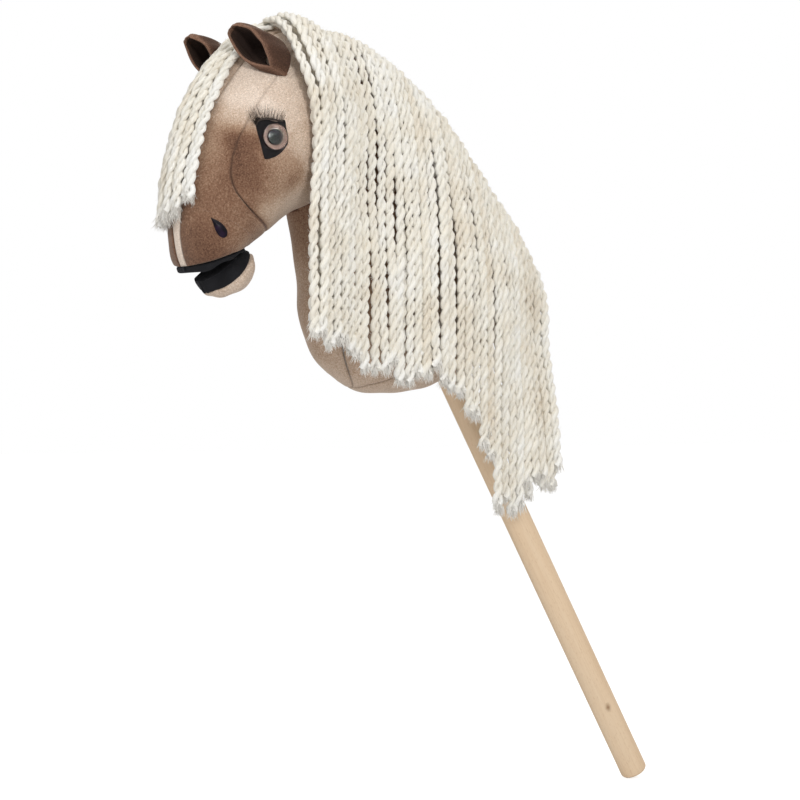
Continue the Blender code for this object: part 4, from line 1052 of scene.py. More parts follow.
def sew_head(looks):
    seam, lip = cheek_seam(), lip_curve()
    shares = np.maximum.accumulate(seam[:, 0])
    shares = shares + np.arange(len(shares)) * 1.0e-6
    lower = np.linspace(shares[-1], lip[0, 0], 10)[1:]
    lip_shares = np.maximum.accumulate(lip[1:, 0]) + np.arange(len(lip) - 1) * 1.0e-6
    face_shares = np.concatenate((shares, lower, lip_shares))
    face_right = np.concatenate((seam[:, 1], np.full(len(lower), math.pi), lip[1:, 1]))
    for word, side in SIDES:
        shell = Shell()
        for grid in (ruled(face_shares, face_edge(face_shares), face_right, 80),
                     ruled(shares, seam[:, 1], np.full(len(shares), math.pi), 64)):
            panel(shell, HEAD, grid[0], -side * grid[1], head_tone, head_relief)
        piece = shell.piece("head_velvet_" + word, looks["velvet"])
        dress(piece, "horse", "brown_velvet", "head_side_" + word)
    shell = Shell()
    across = close_to_edges(12) * 2.0 - 1.0
    ends = np.array([lip_share(abs(a) * float(face_edge(np.array(lip[-1, 0])))) for a in across])
    along = close_to_edges(130, (0.0, 0.002, 0.004, 0.007, 0.011, 0.017))[:, None]
    shares = -DOME_SPAN + (ends[None, :] + DOME_SPAN) * along
    angles = across[None, :] * face_edge(shares)
    panel(shell, HEAD, shares, angles, strip_tone, head_relief)
    dress(shell.piece("face_strip", looks["velvet"]), "horse", "beige_velvet", "face_gusset")


def head_half_width(place):
    """Half width of the head at a point of its middle plane."""
    share = HEAD.share_at(float((place - POLL) @ HEAD_AXIS))
    forward = float((place - POLL) @ HEAD_FORWARD)
    angle = HEAD.angle_at_forward(np.array(share), forward)
    return float(HEAD.section(np.array(share))[3] * math.sin(angle))


def sew_palate(looks):
    """The black pad under the upper lip: a flat cushion that follows the muzzle's outline."""
    tip = HEAD.flat(lip_share(0.0), 0.0)
    reach = float((tip - CORNER) @ LIP) + SKIN
    stations, around = 90, 48
    verts = []
    for share in 0.5 - 0.5 * np.cos(np.linspace(0.07, math.pi - 0.04, stations)):
        run = 0.0025 + (reach - 0.0030) * share
        here = CORNER + LIP * run
        half = head_half_width(here) + 0.6 * SKIN
        thick = PALATE_PAD - GAP + PALATE_DROP * min(run / 0.046, 1.0)
        thick += PALATE_LIP * min(max((run - 0.043) / 0.008, 0.0), 1.0) * min((reach - run) / 0.010, 1.0)
        thick *= 0.62 + 0.38 * min((reach - run) / 0.006, 1.0) ** 0.5
        for k in range(around):
            c, s = math.cos(2.0 * math.pi * k / around), math.sin(2.0 * math.pi * k / around)
            y = half * math.copysign(abs(c) ** 0.5, c)
            dent = 0.0007 * math.sin(run * 260.0 + 1.7 * c) * (1.0 if s < 0.0 else 0.0)
            z = -GAP - thick / 2.0 + (thick / 2.0) * math.copysign(abs(s) ** 0.55, s) + dent
            verts.append(here + np.array((0.0, y, 0.0)) + LIP_UP * z)
    faces = grid_faces(stations, around, 0, closed=True)
    faces += [tuple(range(around)), tuple(range((stations - 1) * around, stations * around))]
    blank = np.zeros(len(verts))
    piece = new_piece("palate_velvet", verts, faces, looks["black velvet"], {"tone": blank, "seam": blank})
    dress(piece, "horse", "black_velvet", "palate_lining")


# Neck

def base_seam_share(angle):
    """The base panel's seam: it dips a little at the sides and rises to the chest."""
    height = BASE_SEAM_HEIGHT + BASE_SEAM_RISE * np.clip(np.cos(angle), 0.0, 1.0) ** 3
    shares = np.linspace(0.0, 0.5, 1200)
    return np.interp(height, NECK.section(shares)[:, 0], shares)


def throat_edge(share):
    """Half angle of the throat strip, which comes to a point at the base seam."""
    height = NECK.section(share)[..., 0]
    opened = np.sqrt(np.clip((height - THROAT_POINT) / THROAT_OPENING, 0.0, 1.0))
    half = THROAT_GUSSET_HALF * opened * 0.985 + 0.0004
    return NECK.angle_for(share, half)


def sew_neck(looks):
    head_room = whole_form(HEAD, SKIN + GAP)
    low = float(base_seam_share(0.0))
    top = NECK.share_at(THROAT_GUSSET_TOP)
    strip = np.linspace(low, 1.0 + DOME_SPAN, 150)
    strip_line = np.stack((strip, throat_edge(np.minimum(strip, 1.0))), axis=1)
    crest = np.linspace(float(base_seam_share(math.pi)), 1.0 + DOME_SPAN, 100)
    crest = np.stack((crest, np.full(100, math.pi)), axis=1)
    for word, side in SIDES:
        shell = Shell()
        shares, angles = between(strip_line, crest, 150, 100)
        seam = base_seam_share(angles)
        first = shares[:1, :]
        shares = seam + (shares - first) * (1.0 + DOME_SPAN - seam) / (1.0 + DOME_SPAN - first)
        tone = neck_shade(0.50, 0.20, 0.045, 0.045, 0.22)
        panel(shell, NECK, shares, -side * angles, tone, neck_relief)
        piece = cut_by(shell.piece("neck_velvet_" + word, looks["velvet"]), [head_room])
        dress(piece, "horse", "brown_velvet", "neck_side_" + word)
    shell = Shell()
    shares = low + (top - low) * close_to_edges(120, (0.0, 0.003, 0.007, 0.012, 0.018, 0.026))[:, None]
    across = close_to_edges(16) * 2.0 - 1.0
    shares = np.repeat(shares, len(across), axis=1)
    tone = neck_shade(0.56, 0.12, 0.06, 0.05, 0.30)
    panel(shell, NECK, shares, across[None, :] * throat_edge(shares), tone, neck_relief)
    piece = cut_by(shell.piece("throat_velvet", looks["velvet"]), [head_room])
    dress(piece, "horse", "taupe_velvet", "throat_gusset")
    sew_base(looks)


def sew_base(looks):
    """The panel under the neck, drawn in round the stick."""
    angles = np.linspace(0.0, 2.0 * math.pi, 193)
    seam = base_seam_share(angles)
    rows = close_to_edges(44)[:, None]
    shares = seam[None, :] * rows
    turns = np.repeat(angles[None, :], len(rows), axis=0)
    shell = Shell()
    outer = NECK.point(shares, turns, np.full(shares.shape, SKIN))
    near = edge_distance(outer, round_ways=True)
    edge = hump(near, ROLL_WIDTH)
    from_seam = np.linalg.norm(outer - outer[-1:, :], axis=-1)
    rolled = SKIN - ROLL_DEPTH * edge * (from_seam < 0.02)
    outer = NECK.point(shares, turns, rolled + neck_relief(outer) * (1.0 - edge))
    inner = NECK.point(shares, turns, np.full(shares.shape, GAP / 3.0))
    hem_radius = STICK_RADIUS + 0.0006
    hem_out, hem_in = [], []
    for share in np.linspace(0.0, 1.0, 10)[:-1]:
        middle = NECK_BASE + STICK_AXIS * (0.0048 - 0.0015 * (1.0 - share))
        for store, grid, lift in ((hem_out, outer, 0.0), (hem_in, inner, 0.0012)):
            first = grid[0]
            radial = first - NECK_BASE - STICK_AXIS * ((first - NECK_BASE) @ STICK_AXIS)[:, None]
            ring = unit(radial) * hem_radius + middle + STICK_AXIS * lift
            gather = 0.0005 * np.sin(turns[0] * 22.0)[:, None] * STICK_AXIS * (1.0 - share) ** 0.5
            store.append(ring + (first - ring) * share ** 1.2 + gather)
    outer = np.concatenate((np.array(hem_out), outer))
    inner = np.concatenate((np.array(hem_in), inner))
    # Painted shade along the base panel's seam
    seam_shade = np.concatenate((np.zeros((9, 193)), hump(from_seam, SEAM_SHADE_WIDTH)))
    shell.add(outer, inner, np.full(outer.shape[:2], 0.72), seam_shade)
    dress(shell.piece("base_velvet", looks["velvet"]), "horse", "taupe_velvet", "neck_base_panel")


# Jaw

def kept_below(points, way, rooms, clearance):
    """Points moved back along a way until they lie under every room."""
    moved = np.array(points, float)
    flat = moved.reshape(-1, 3)
    for index in range(len(flat)):
        start = Vector(flat[index] - way * 0.08)
        for room in rooms:
            hit = room.ray_cast(start, Vector(way))[0]
            if hit is not None:
                flat[index] += way * min(float((np.array(hit) - flat[index]) @ way) - clearance, 0.0)
    return moved


def sew_jaw(looks):
    """Lining, panel and filling of the jaw, kept under the head at every turn of its hinge."""
    turns = np.linspace(JAW_FLEX[0], JAW_FLEX[1], 3)
    heads = swung(whole_form(HEAD, SKIN + GAP), CORNER, (0.0, 1.0, 0.0), turns)
    rooms = [tree_of(shape) for shape in heads]

    def jaw_relief(points):
        return (ripples(points, 0.0006, (210.0, 260.0, 150.0))
                + ripples(points, 0.0005, (-330.0, 240.0, 190.0))) - 0.0003

    edges = np.array(JAW_EDGE)
    for name, slot, look, tone, node in (
            ("jaw_velvet_inside", "black_velvet", "black velvet", 0.0, "jaw_lining"),
            ("jaw_velvet_outside", "beige_velvet", "velvet", 0.80, "jaw_panel")):
        inside = node == "jaw_lining"
        last = 1.0 + DOME_SPAN if inside else JAW_EDGE[-2][0]
        shares = close_to_edges(56) * (last + DOME_SPAN) - DOME_SPAN
        edge = np.radians(np.interp(shares, edges[:, 0], edges[:, 1]))[:, None]
        across = close_to_edges(90)[None, :]
        angles = edge * (2.0 * across - 1.0) if inside else edge + (2.0 * math.pi - 2.0 * edge) * across
        shares = np.repeat(shares[:, None], angles.shape[1], axis=1)
        shell = Shell()
        panel(shell, JAW, shares, angles, even_tone(tone), jaw_relief, rooms=rooms)
        piece = shell.piece(name, looks[look])
        dress(piece, "jaw", slot, node)
    verts, faces = whole_form(JAW, -GAP, 40, 56)
    verts = kept_below(verts, JAW.forward, rooms, GAP + VELVET + GAP)
    dress(new_piece("jaw_filling", verts, faces, looks["filling"]), "jaw", "filling", "jaw_stuffing")


# Ears

def ear_frame(side):
    """The ear's root on the head, its long direction, the way its cup opens and the direction across."""
    along, forward, out = EAR_ROOT
    root = POLL + HEAD_AXIS * along + HEAD_FORWARD * forward + np.array((0.0, side * out, 0.0))
    long_way = unit(np.array(EAR_FORWARD) * (1.0, side, 1.0))
    opening = np.array(EAR_OPENING) * (1.0, side, 1.0)
    opening = unit(opening - long_way * (opening @ long_way))
    return root, long_way, opening, np.cross(opening, long_way)


def ear_row(side, share, outward):
    """Points across the ear's cup, one for each share of its length."""
    root, long_way, opening, across = ear_frame(side)
    sine, cosine = math.sin(EAR_TWISTS[side]), math.cos(EAR_TWISTS[side])
    opening, across = opening * cosine + across * sine, across * cosine - opening * sine
    share = share[:, None]
    length = EAR_LENGTH * (share - EAR_BURIED)
    taper = np.sqrt(np.maximum(1.0 - np.minimum(share, 1.0) ** 2.8, 0.0))
    swell = 0.80 + 0.28 * np.sin(math.pi * np.minimum(share * 0.9, 1.0))
    radius = EAR_TIP_RADIUS + (EAR_RADIUS - EAR_TIP_RADIUS) * taper * swell
    out = np.clip((share - EAR_SEAT) / (1.0 - EAR_SEAT), 0.0, 1.0)
    wrap = EAR_WRAP[1] + (EAR_WRAP[0] - EAR_WRAP[1]) * (1.0 - out) ** 1.2
    middle = root + long_way * length - opening * (EAR_OFFSET * (1.0 - share))
    turn = wrap * np.linspace(-1.0, 1.0, len(share))[:, None]
    ripple = 0.0005 * np.sin(7.0 * turn + 9.0 * share) * np.minimum(share * 3.0, 1.0)
    reach = radius + outward + ripple
    return middle - opening * (reach * np.cos(turn)) + across * (reach * np.sin(turn))


def ear_rooms(side):
    """The head at the ear's turns, and the mane's front plane, both as the ear sees them."""
    root, _, _, across = ear_frame(side)
    heads = []
    for turn in np.linspace(EAR_FLEX[0], EAR_FLEX[1], 3):
        shape = swung(whole_form(HEAD, SKIN), root, across, (turn,))[0]
        heads.append((tree_of(shape), sum((Vector(v) for v in shape[0]), Vector()) / len(shape[0])))
    planes = []
    for turn in EAR_FLEX:
        matrix = Matrix.Rotation(-turn, 3, Vector(across))
        normal = np.array(matrix @ Vector((-1.0, 0.0, 0.0)))
        planes.append((root + np.array(matrix @ Vector(np.array((EAR_LIMIT, 0.0, 0.0)) - root)), normal))
    return heads, planes


def head_depth(point, heads):
    """How far a point stands clear of the heads, and the nearest place and way out."""
    worst = (1.0, None, None)
    for tree, centre in heads:
        hit, normal, _, _ = tree.find_nearest(Vector(point))
        normal = normal if normal.dot(hit - centre) > 0.0 else -normal
        clear = (Vector(point) - hit).dot(normal)
        if clear < worst[0]:
            worst = (clear, hit, normal)
    return worst


def ear_start(side, outward, count, rooms):
    """For each column of the cup, the share at which it leaves the mane's plane and the head."""
    heads, planes = rooms
    starts = np.zeros(count)
    for share in np.linspace(0.0, 0.6, 61):
        row = ear_row(side, np.full(count, share), outward)
        for index, point in enumerate(row):
            if min((point - place) @ normal for place, normal in planes) < GAP:
                starts[index] = share
            elif share < EAR_SEWN and head_depth(point, heads)[0] < 0.0:
                starts[index] = share
    return smoothed(starts, 3)


def ear_leaf(name, side, outward, wall, reach_share, look, rim_sheen_tone, rooms, lift):
    """A cupped leaf of cloth with a rounded rim, which lies on the head where it reaches it; its rim is
    painted lighter, a painted sheen along the fold.
    """
    rows, across, rim = 64, 56, 6
    verts, tone = [], []
    middle = outward - wall / 2.0
    starts = ear_start(side, middle, across, rooms)

    def clear_of_head(points, height):
        made = []
        for point in points:
            for _ in range(2):
                clear, hit, normal = head_depth(point, rooms[0])
                if clear < height:
                    point = np.array(hit + normal * height)
            made.append(point)
        return made

    for index, along in enumerate(1.0 - (1.0 - np.linspace(0.0, 1.0, rows)) ** 1.25):
        share = starts + (reach_share - starts) * along
        squeeze = min((rows - 1 - index) / 5.0, 1.0)
        squeeze = math.sqrt(max(1.0 - (1.0 - squeeze) ** 2, 0.0016))
        outside = clear_of_head(ear_row(side, share, middle + wall / 2.0 * squeeze), lift)
        inside = clear_of_head(ear_row(side, share, middle - wall / 2.0 * squeeze), lift + wall)[::-1]
        loop = list(outside)
        for first, last, way, after in (
                (outside[-1], inside[0], outside[-1] - outside[-2], list(inside)),
                (inside[-1], outside[0], inside[-1] - inside[-2], [])):
            centre, half = (first + last) / 2.0, (first - last) / 2.0
            out = unit(way) * np.linalg.norm(half)
            for k in range(1, rim):
                turn = math.pi * k / rim
                loop.append(centre + half * math.cos(turn) + out * math.sin(turn))
            loop += after
        verts += loop
        place = np.linspace(0.0, 1.0, across)
        # Painted sheen: the tone rises along the side rims, towards the tip and round the rolled rim
        side_rim_sheen = 0.85 * np.exp(-np.minimum(place, 1.0 - place) / 0.06)
        end_rim_sheen = 0.85 * math.exp(-((1.0 - along) / 0.16) ** 2)
        shade = np.clip(side_rim_sheen + end_rim_sheen, 0.0, 0.9) * rim_sheen_tone
        tone += list(shade) + [rim_sheen_tone] * (rim - 1) + list(shade[::-1]) + [rim_sheen_tone] * (rim - 1)
    size = 2 * across + 2 * (rim - 1)
    faces = grid_faces(rows, size, 0, closed=True)
    half_size = across + rim - 1
    for start in (0, (rows - 1) * size):
        for j in range(half_size):
            a, b = start + j, start + j + 1
            far = 2 * across + rim - 1 - j
            c, d = start + (far - 1) % size, start + far % size
            if len({a, b, c, d}) == 4:
                faces.append((a, b, c, d))
    return new_piece(name, verts, faces, look, {"tone": tone, "seam": np.zeros(len(verts))})


def sew_ears(looks):
    for word, side in SIDES:
        rooms = ear_rooms(side)
        shell = ear_leaf("ear_velvet_" + word, side, 0.0, EAR_WALL, 1.0, looks["ear"], 1.0, rooms, GAP)
        dress(shell, "ear_" + word, "dark_velvet", "ear_shell_" + word)
        inward = EAR_WALL + 2.0 * GAP
        lining = ear_leaf("ear_lining_velvet_" + word, side, -inward, EAR_LINING, 0.93,
                          looks["ear lining"], 0.2, rooms, GAP + inward)
        dress(lining, "ear_" + word, "ear_lining", "ear_lining_" + word)


# Eyes

def tangent_frame(normal):
    """Right, away from the face, and up, across a side normal."""
    right = np.array((1.0, 0.0, 0.0))
    right = unit(right - normal * (right @ normal))
    up = np.cross(normal, right)
    return right, up if up[2] > 0.0 else -up


def on_head(place, normal, a, b, right, up):
    """The head's skin under a point given across a normal."""
    start = place + right * a + up * b + normal * 0.03
    hit = HEAD_TREE.ray_cast(Vector(start), Vector(-normal))[0]
    return np.array(hit) if hit is not None else place + right * a + up * b


def smooth_outline(points, steps, roundness):
    """A closed curve through the points."""
    made = []
    count = len(points)
    for i in range(count):
        p0, p1, p2, p3 = (np.array(points[(i + k) % count]) for k in (-1, 0, 1, 2))
        for step in range(steps):
            t = step / steps
            line = p1 + (p2 - p1) * t
            curve = 0.5 * (2 * p1 + (p2 - p0) * t + (2 * p0 - 5 * p1 + 4 * p2 - p3) * t * t
                           + (3 * p1 - p0 - 3 * p2 + p3) * t ** 3)
            made.append(line + roundness * (curve - line))
    return made


def draped(name, place, normal, outline, height_of, look, rings=14, hole=0.0):
    """A flat cut piece laid on the head, closed underneath; its height follows the share from its middle."""
    right, up = tangent_frame(normal)
    outline = [np.asarray(p) for p in outline]
    middle = np.zeros(2) if hole else sum(outline) / len(outline)
    verts, faces = [], []
    count = len(outline)
    shares = [1.0 - (1.0 - k / rings) ** 1.6 for k in range(rings + 1)]
    for layer in (0, 1):
        for share in shares:
            for point in outline:
                inner = hole * unit(point) if hole else middle
                a, b = inner + (point - inner) * max(share, 0.02 if not hole else 0.0)
                skin = on_head(place, normal, a, b, right, up)
                verts.append(skin + normal * (GAP + (height_of(share) if layer else 0.0)))
    size = (rings + 1) * count
    for layer in (0, 1):
        faces += grid_faces(rings + 1, count, layer * size, closed=True)
    for ring in (0, rings):
        if ring == 0 and not hole:
            faces += [tuple(range(count)), tuple(range(size, size + count))]
            continue
        for j in range(count):
            a, b = ring * count + j, ring * count + (j + 1) % count
            faces.append((a, b, size + b, size + a))
    return new_piece(name, verts, faces, look), np.array(verts)


def spot_on_head(along, forward, side, turn):
    """A place on the skin and the flat way it looks."""
    share = HEAD.share_at(along)
    angle = float(HEAD.angle_at_forward(np.array(share), forward))
    point = HEAD.point(share, angle, np.array(SKIN))
    normal = np.array((-math.sin(turn), side * math.cos(turn), 0.0))
    return np.array((point[0], side * abs(point[1]), point[2])), normal


def make_eye(word, side, looks, bristles):
    """Felt patch, iris disc with its shank, clear dome and lashes of one eye."""
    place, normal = spot_on_head(EYE_ALONG, EYE_FORWARD, side, EYE_TURN)
    outline = smooth_outline(PATCH_OUTLINE, 8, 0.55)
    patch, verts = draped("eye_felt_" + word, place, normal, outline,
                          lambda share: FELT * (1.0 - 0.5 * share ** 12), looks["felt"], 20,
                          SHANK_RADIUS + GAP)
    dress(patch, "horse", "black_felt", "eye_patch_" + word)
    away = verts - place
    across = np.linalg.norm(away - np.outer(away @ normal, normal), axis=1)
    seat = place + normal * (float((away @ normal)[across < EYE_RADIUS].max()) + GAP)
    top = EYE_RIM + PUPIL_STEP
    profile = rounded((
        (0.0, -SHANK_LENGTH), (SHANK_RADIUS, -SHANK_LENGTH), (SHANK_RADIUS, 0.0), (EYE_RADIUS, 0.0),
        (EYE_RADIUS, EYE_RIM), (PUPIL_RADIUS, EYE_RIM), (PUPIL_RADIUS, top), (0.0, top)), EYE_EASE)
    rings = []
    for (r0, h0), (r1, h1) in zip(profile, profile[1:]):
        pieces = max(int(math.hypot(r1 - r0, h1 - h0) / EYE_STEP), 1)
        rings += [(r0 + (r1 - r0) * k / pieces, h0 + (h1 - h0) * k / pieces) for k in range(pieces)]
    points, faces, values = turned(rings + [profile[-1]], seat, normal, 96)
    spoke = np.stack((np.cos(values[:, 2]), np.sin(values[:, 2]), values[:, 0] / EYE_RADIUS), axis=1)
    iris = new_piece("eye_" + word, points, faces, looks["eye"], {"radius": values[:, 0] / EYE_RADIUS},
                     {"spoke": spoke})
    dress(iris, "horse", "eye_plastic", "eye_iris_" + word)
    dome = [(EYE_RADIUS * math.cos(turn), EYE_RIM + GAP + DOME_HEIGHT * math.sin(turn))
            for turn in quarter_turn(24)]
    dome[-1] = (0.0, dome[-1][1])
    inner = PUPIL_RADIUS + GAP
    dome += [(0.0, top + GAP), (inner, top + GAP), (inner, EYE_RIM + GAP), dome[0]]
    points, faces, _ = turned(dome, seat, normal, 96)
    dress(new_piece("eye_dome_clear_" + word, points, faces, looks["clear"]), "horse", "clear_plastic",
          "eye_dome_" + word)
    make_lashes(word, seat, normal, looks, bristles)


LASH_LINE = ((-0.0158, 0.0100), (-0.0135, 0.0148), (-0.0070, 0.0166), (0.0010, 0.0162), (0.0095, 0.0148))
LASH_COUNT = 150
LASH_STRIP = (0.0010, 0.0008)
LASH_HAIR = {"Count": 1, "Length": 0.0185, "Thickness": 0.00022, "Jitter": 0.0, "Splay": 0.0, "Bend": 0.0040}


def make_lashes(word, seat, normal, looks, bristles):
    """A strip over the patch's upper edge, and its bristles, which sweep up and to the face."""
    right, up = tangent_frame(normal)
    line = smooth_between(LASH_LINE, np.linspace(0.0, len(LASH_LINE) - 1.0, LASH_COUNT))
    rng = np.random.default_rng(11)
    base = np.array([on_head(seat, normal, a, b, right, up) for a, b in line]) + normal * (FELT + 0.0004)
    strip_verts = []
    around = 8
    wide, thick = LASH_STRIP
    for k, point in enumerate(base):
        slim = math.sqrt(max(1.0 - (2.0 * k / (LASH_COUNT - 1) - 1.0) ** 8, 0.01))
        for j in range(around):
            turn = 2.0 * math.pi * j / around
            strip_verts.append(point + (up * math.cos(turn) * wide + normal * math.sin(turn) * thick) * slim)
    strip_faces = grid_faces(LASH_COUNT, around, 0, closed=True)
    strip_faces += [tuple(range(around)), tuple(range((LASH_COUNT - 1) * around, LASH_COUNT * around))]
    strip = new_piece("lash_strip_" + word, strip_verts, strip_faces, looks["bristle"])
    roots, ways, sizes = [], [], []
    for k, point in enumerate(base):
        share = k / (LASH_COUNT - 1)
        roots.append(point + normal * rng.uniform(-0.0004, 0.0006) + up * rng.uniform(-0.0007, 0.0007))
        way = up * 0.80 - right * (1.05 - 1.20 * share) + normal * rng.uniform(0.05, 0.75)
        ways.append(unit(way + rng.normal(0.0, 0.14, 3)))
        sizes.append(rng.uniform(0.65, 1.1) * (1.0 - 0.30 * share))
    hairs = grow(bristles, "lash_hair_" + word, roots, ways, sizes, looks["bristle"], LASH_HAIR)
    dress(joined("lashes_" + word, [strip, hairs]), "horse", "lash_bristle", "eyelash_" + word)


def make_nostril(word, side, looks):
    """A padded teardrop of dark satin, its point up and turned to the face."""
    place, normal = spot_on_head(NOSTRIL_ALONG, NOSTRIL_FORWARD, side, NOSTRIL_TURN)
    outline = []
    steps = 72
    for step in range(steps):
        turn = 2.0 * math.pi * step / steps
        a = NOSTRIL_WIDTH / 2.0 * math.sin(turn) * abs(math.sin(turn / 2.0)) ** 1.3
        b = NOSTRIL_LENGTH / 2.0 * math.cos(turn)
        a -= NOSTRIL_HOOK * max(math.cos(turn), 0.0) ** 2
        outline.append((a * math.cos(NOSTRIL_TILT) - b * math.sin(NOSTRIL_TILT),
                        a * math.sin(NOSTRIL_TILT) + b * math.cos(NOSTRIL_TILT)))
    piece, _ = draped("nostril_satin_" + word, place, normal, outline,
                      lambda share: NOSTRIL_HEM + NOSTRIL_PUFF * (1.0 - share ** 2.4), looks["satin"], 14)
    dress(piece, "horse", "satin", "nostril_" + word)


# Geometry nodes

class Tree(Nodes):
    """A geometry node tree with named inputs."""

    def __init__(self, name, inputs):
        super().__init__(bpy.data.node_groups.new(name, "GeometryNodeTree"))
        face = self.tree.interface
        face.new_socket("Geometry", in_out="INPUT", socket_type="NodeSocketGeometry")
        self.sockets = {}
        for label, kind, value in inputs:
            socket = face.new_socket(label, in_out="INPUT", socket_type=kind)
            if value is not None:
                socket.default_value = value
            self.sockets[label] = socket.identifier
        face.new_socket("Geometry", in_out="OUTPUT", socket_type="NodeSocketGeometry")
        self.source = self.tree.nodes.new("NodeGroupInput")
        self.end = self.tree.nodes.new("NodeGroupOutput")

    def value(self, label):
        return self.source.outputs[label]

    def circle(self, sides):
        """A profile of radius 1."""
        return self.out("GeometryNodeCurvePrimitiveCircle", {"mode": "RADIUS"}, Resolution=sides, Radius=1.0)

    def vector(self, operation, a, b=None, scale=None):
        node = self.add("ShaderNodeVectorMath", {"operation": operation})
        self.put(a, node.inputs[0])
        if b is not None:
            self.put(b, node.inputs[1])
        if scale is not None:
            self.put(scale, node.inputs["Scale"])
        return node.outputs[0]

    def named(self, name, kind="FLOAT"):
        return self.out("GeometryNodeInputNamedAttribute", {"data_type": kind}, Name=name)

    def store(self, geometry, name, value, kind="FLOAT"):
        return self.out("GeometryNodeStoreNamedAttribute", {"data_type": kind, "domain": "POINT"},
                        Geometry=geometry, Name=name, Value=value)

    def swept(self, curve, radius, profile):
        """A tube along a curve, its thickness given by a field."""
        thick = self.out("GeometryNodeSetCurveRadius", Curve=curve, Radius=radius)
        node = self.add("GeometryNodeCurveToMesh", Curve=thick, Profile_Curve=profile, Fill_Caps=True)
        if "Scale" in node.inputs:
            self.put(self.out("GeometryNodeInputRadius"), node.inputs["Scale"])
        return node.outputs[0]

    def finish(self, geometry):
        real = self.out("GeometryNodeRealizeInstances", Geometry=geometry)
        smooth = self.out("GeometryNodeSetShadeSmooth", Geometry=real)
        painted = self.out("GeometryNodeSetMaterial", Geometry=smooth, Material=self.value("Finish"))
        self.put(painted, self.end.inputs[0])


def yarn_tree():
    """Two plies twisted round each strand's path, with fibre coordinates for the finish."""
    tree = Tree("twisted yarn", (
        ("Twist radius", "NodeSocketFloat", ROPE_RADIUS), ("Ply radius", "NodeSocketFloat", PLY_RADIUS),
        ("Pitch", "NodeSocketFloat", YARN_PITCH), ("Step", "NodeSocketFloat", YARN_STEP),
        ("Sides", "NodeSocketInt", YARN_SIDES), ("Lumps", "NodeSocketFloat", YARN_LUMPS),
        ("Finish", "NodeSocketMaterial", None)))
    curve = tree.out("GeometryNodeMeshToCurve", Mesh=tree.value("Geometry"))
    curve = tree.out("GeometryNodeResampleCurve", {"mode": "LENGTH"}, Curve=curve, Length=tree.value("Step"))
    curve = tree.store(curve, "run", tree.add("GeometryNodeSplineParameter").outputs["Length"])
    circle = tree.circle(tree.value("Sides"))
    circle = tree.store(circle, "lay", tree.out("GeometryNodeInputPosition"), "FLOAT_VECTOR")
    across = tree.named("across", "FLOAT_VECTOR")
    other = tree.vector("CROSS_PRODUCT", tree.out("GeometryNodeInputTangent"), across)
    other = tree.vector("NORMALIZE", other)
    twist = tree.math("DIVIDE", 2.0 * math.pi, tree.value("Pitch"))
    turn = tree.math("ADD", tree.named("turn"), tree.math("MULTIPLY", tree.named("run"), twist))
    both = tree.add("GeometryNodeJoinGeometry")
    swell = tree.named("swell")
    reach = tree.math("MULTIPLY", tree.value("Twist radius"), tree.named("open"))
    deep, wide = ROPE_SPREAD
    for ply, share in enumerate(PLY_SHARES):
        here = tree.math("ADD", turn, ply * math.pi)
        inward = tree.math("MULTIPLY", tree.math("COSINE", here), deep)
        aside = tree.math("MULTIPLY", tree.math("SINE", here), wide)
        offset = tree.vector("ADD", tree.vector("SCALE", across, scale=inward),
                             tree.vector("SCALE", other, scale=aside))
        offset = tree.vector("SCALE", offset, scale=reach)
        moved = tree.out("GeometryNodeSetPosition", Geometry=curve, Offset=offset)
        thick = tree.math("MULTIPLY", tree.value("Ply radius"), tree.math("MULTIPLY", swell, share))
        tree.put(tree.swept(moved, thick, circle), both.inputs[0])
    noise = tree.out("ShaderNodeTexNoise", Scale=240.0, Detail=2.0)
    height = tree.math("MULTIPLY", 2.0, tree.value("Lumps"))
    shift = tree.math("MULTIPLY", tree.math("SUBTRACT", noise, 0.5), height)
    rough = tree.vector("SCALE", tree.out("GeometryNodeInputNormal"), scale=shift)
    tree.finish(tree.out("GeometryNodeSetPosition", Geometry=both.outputs[0], Offset=rough))
    return tree


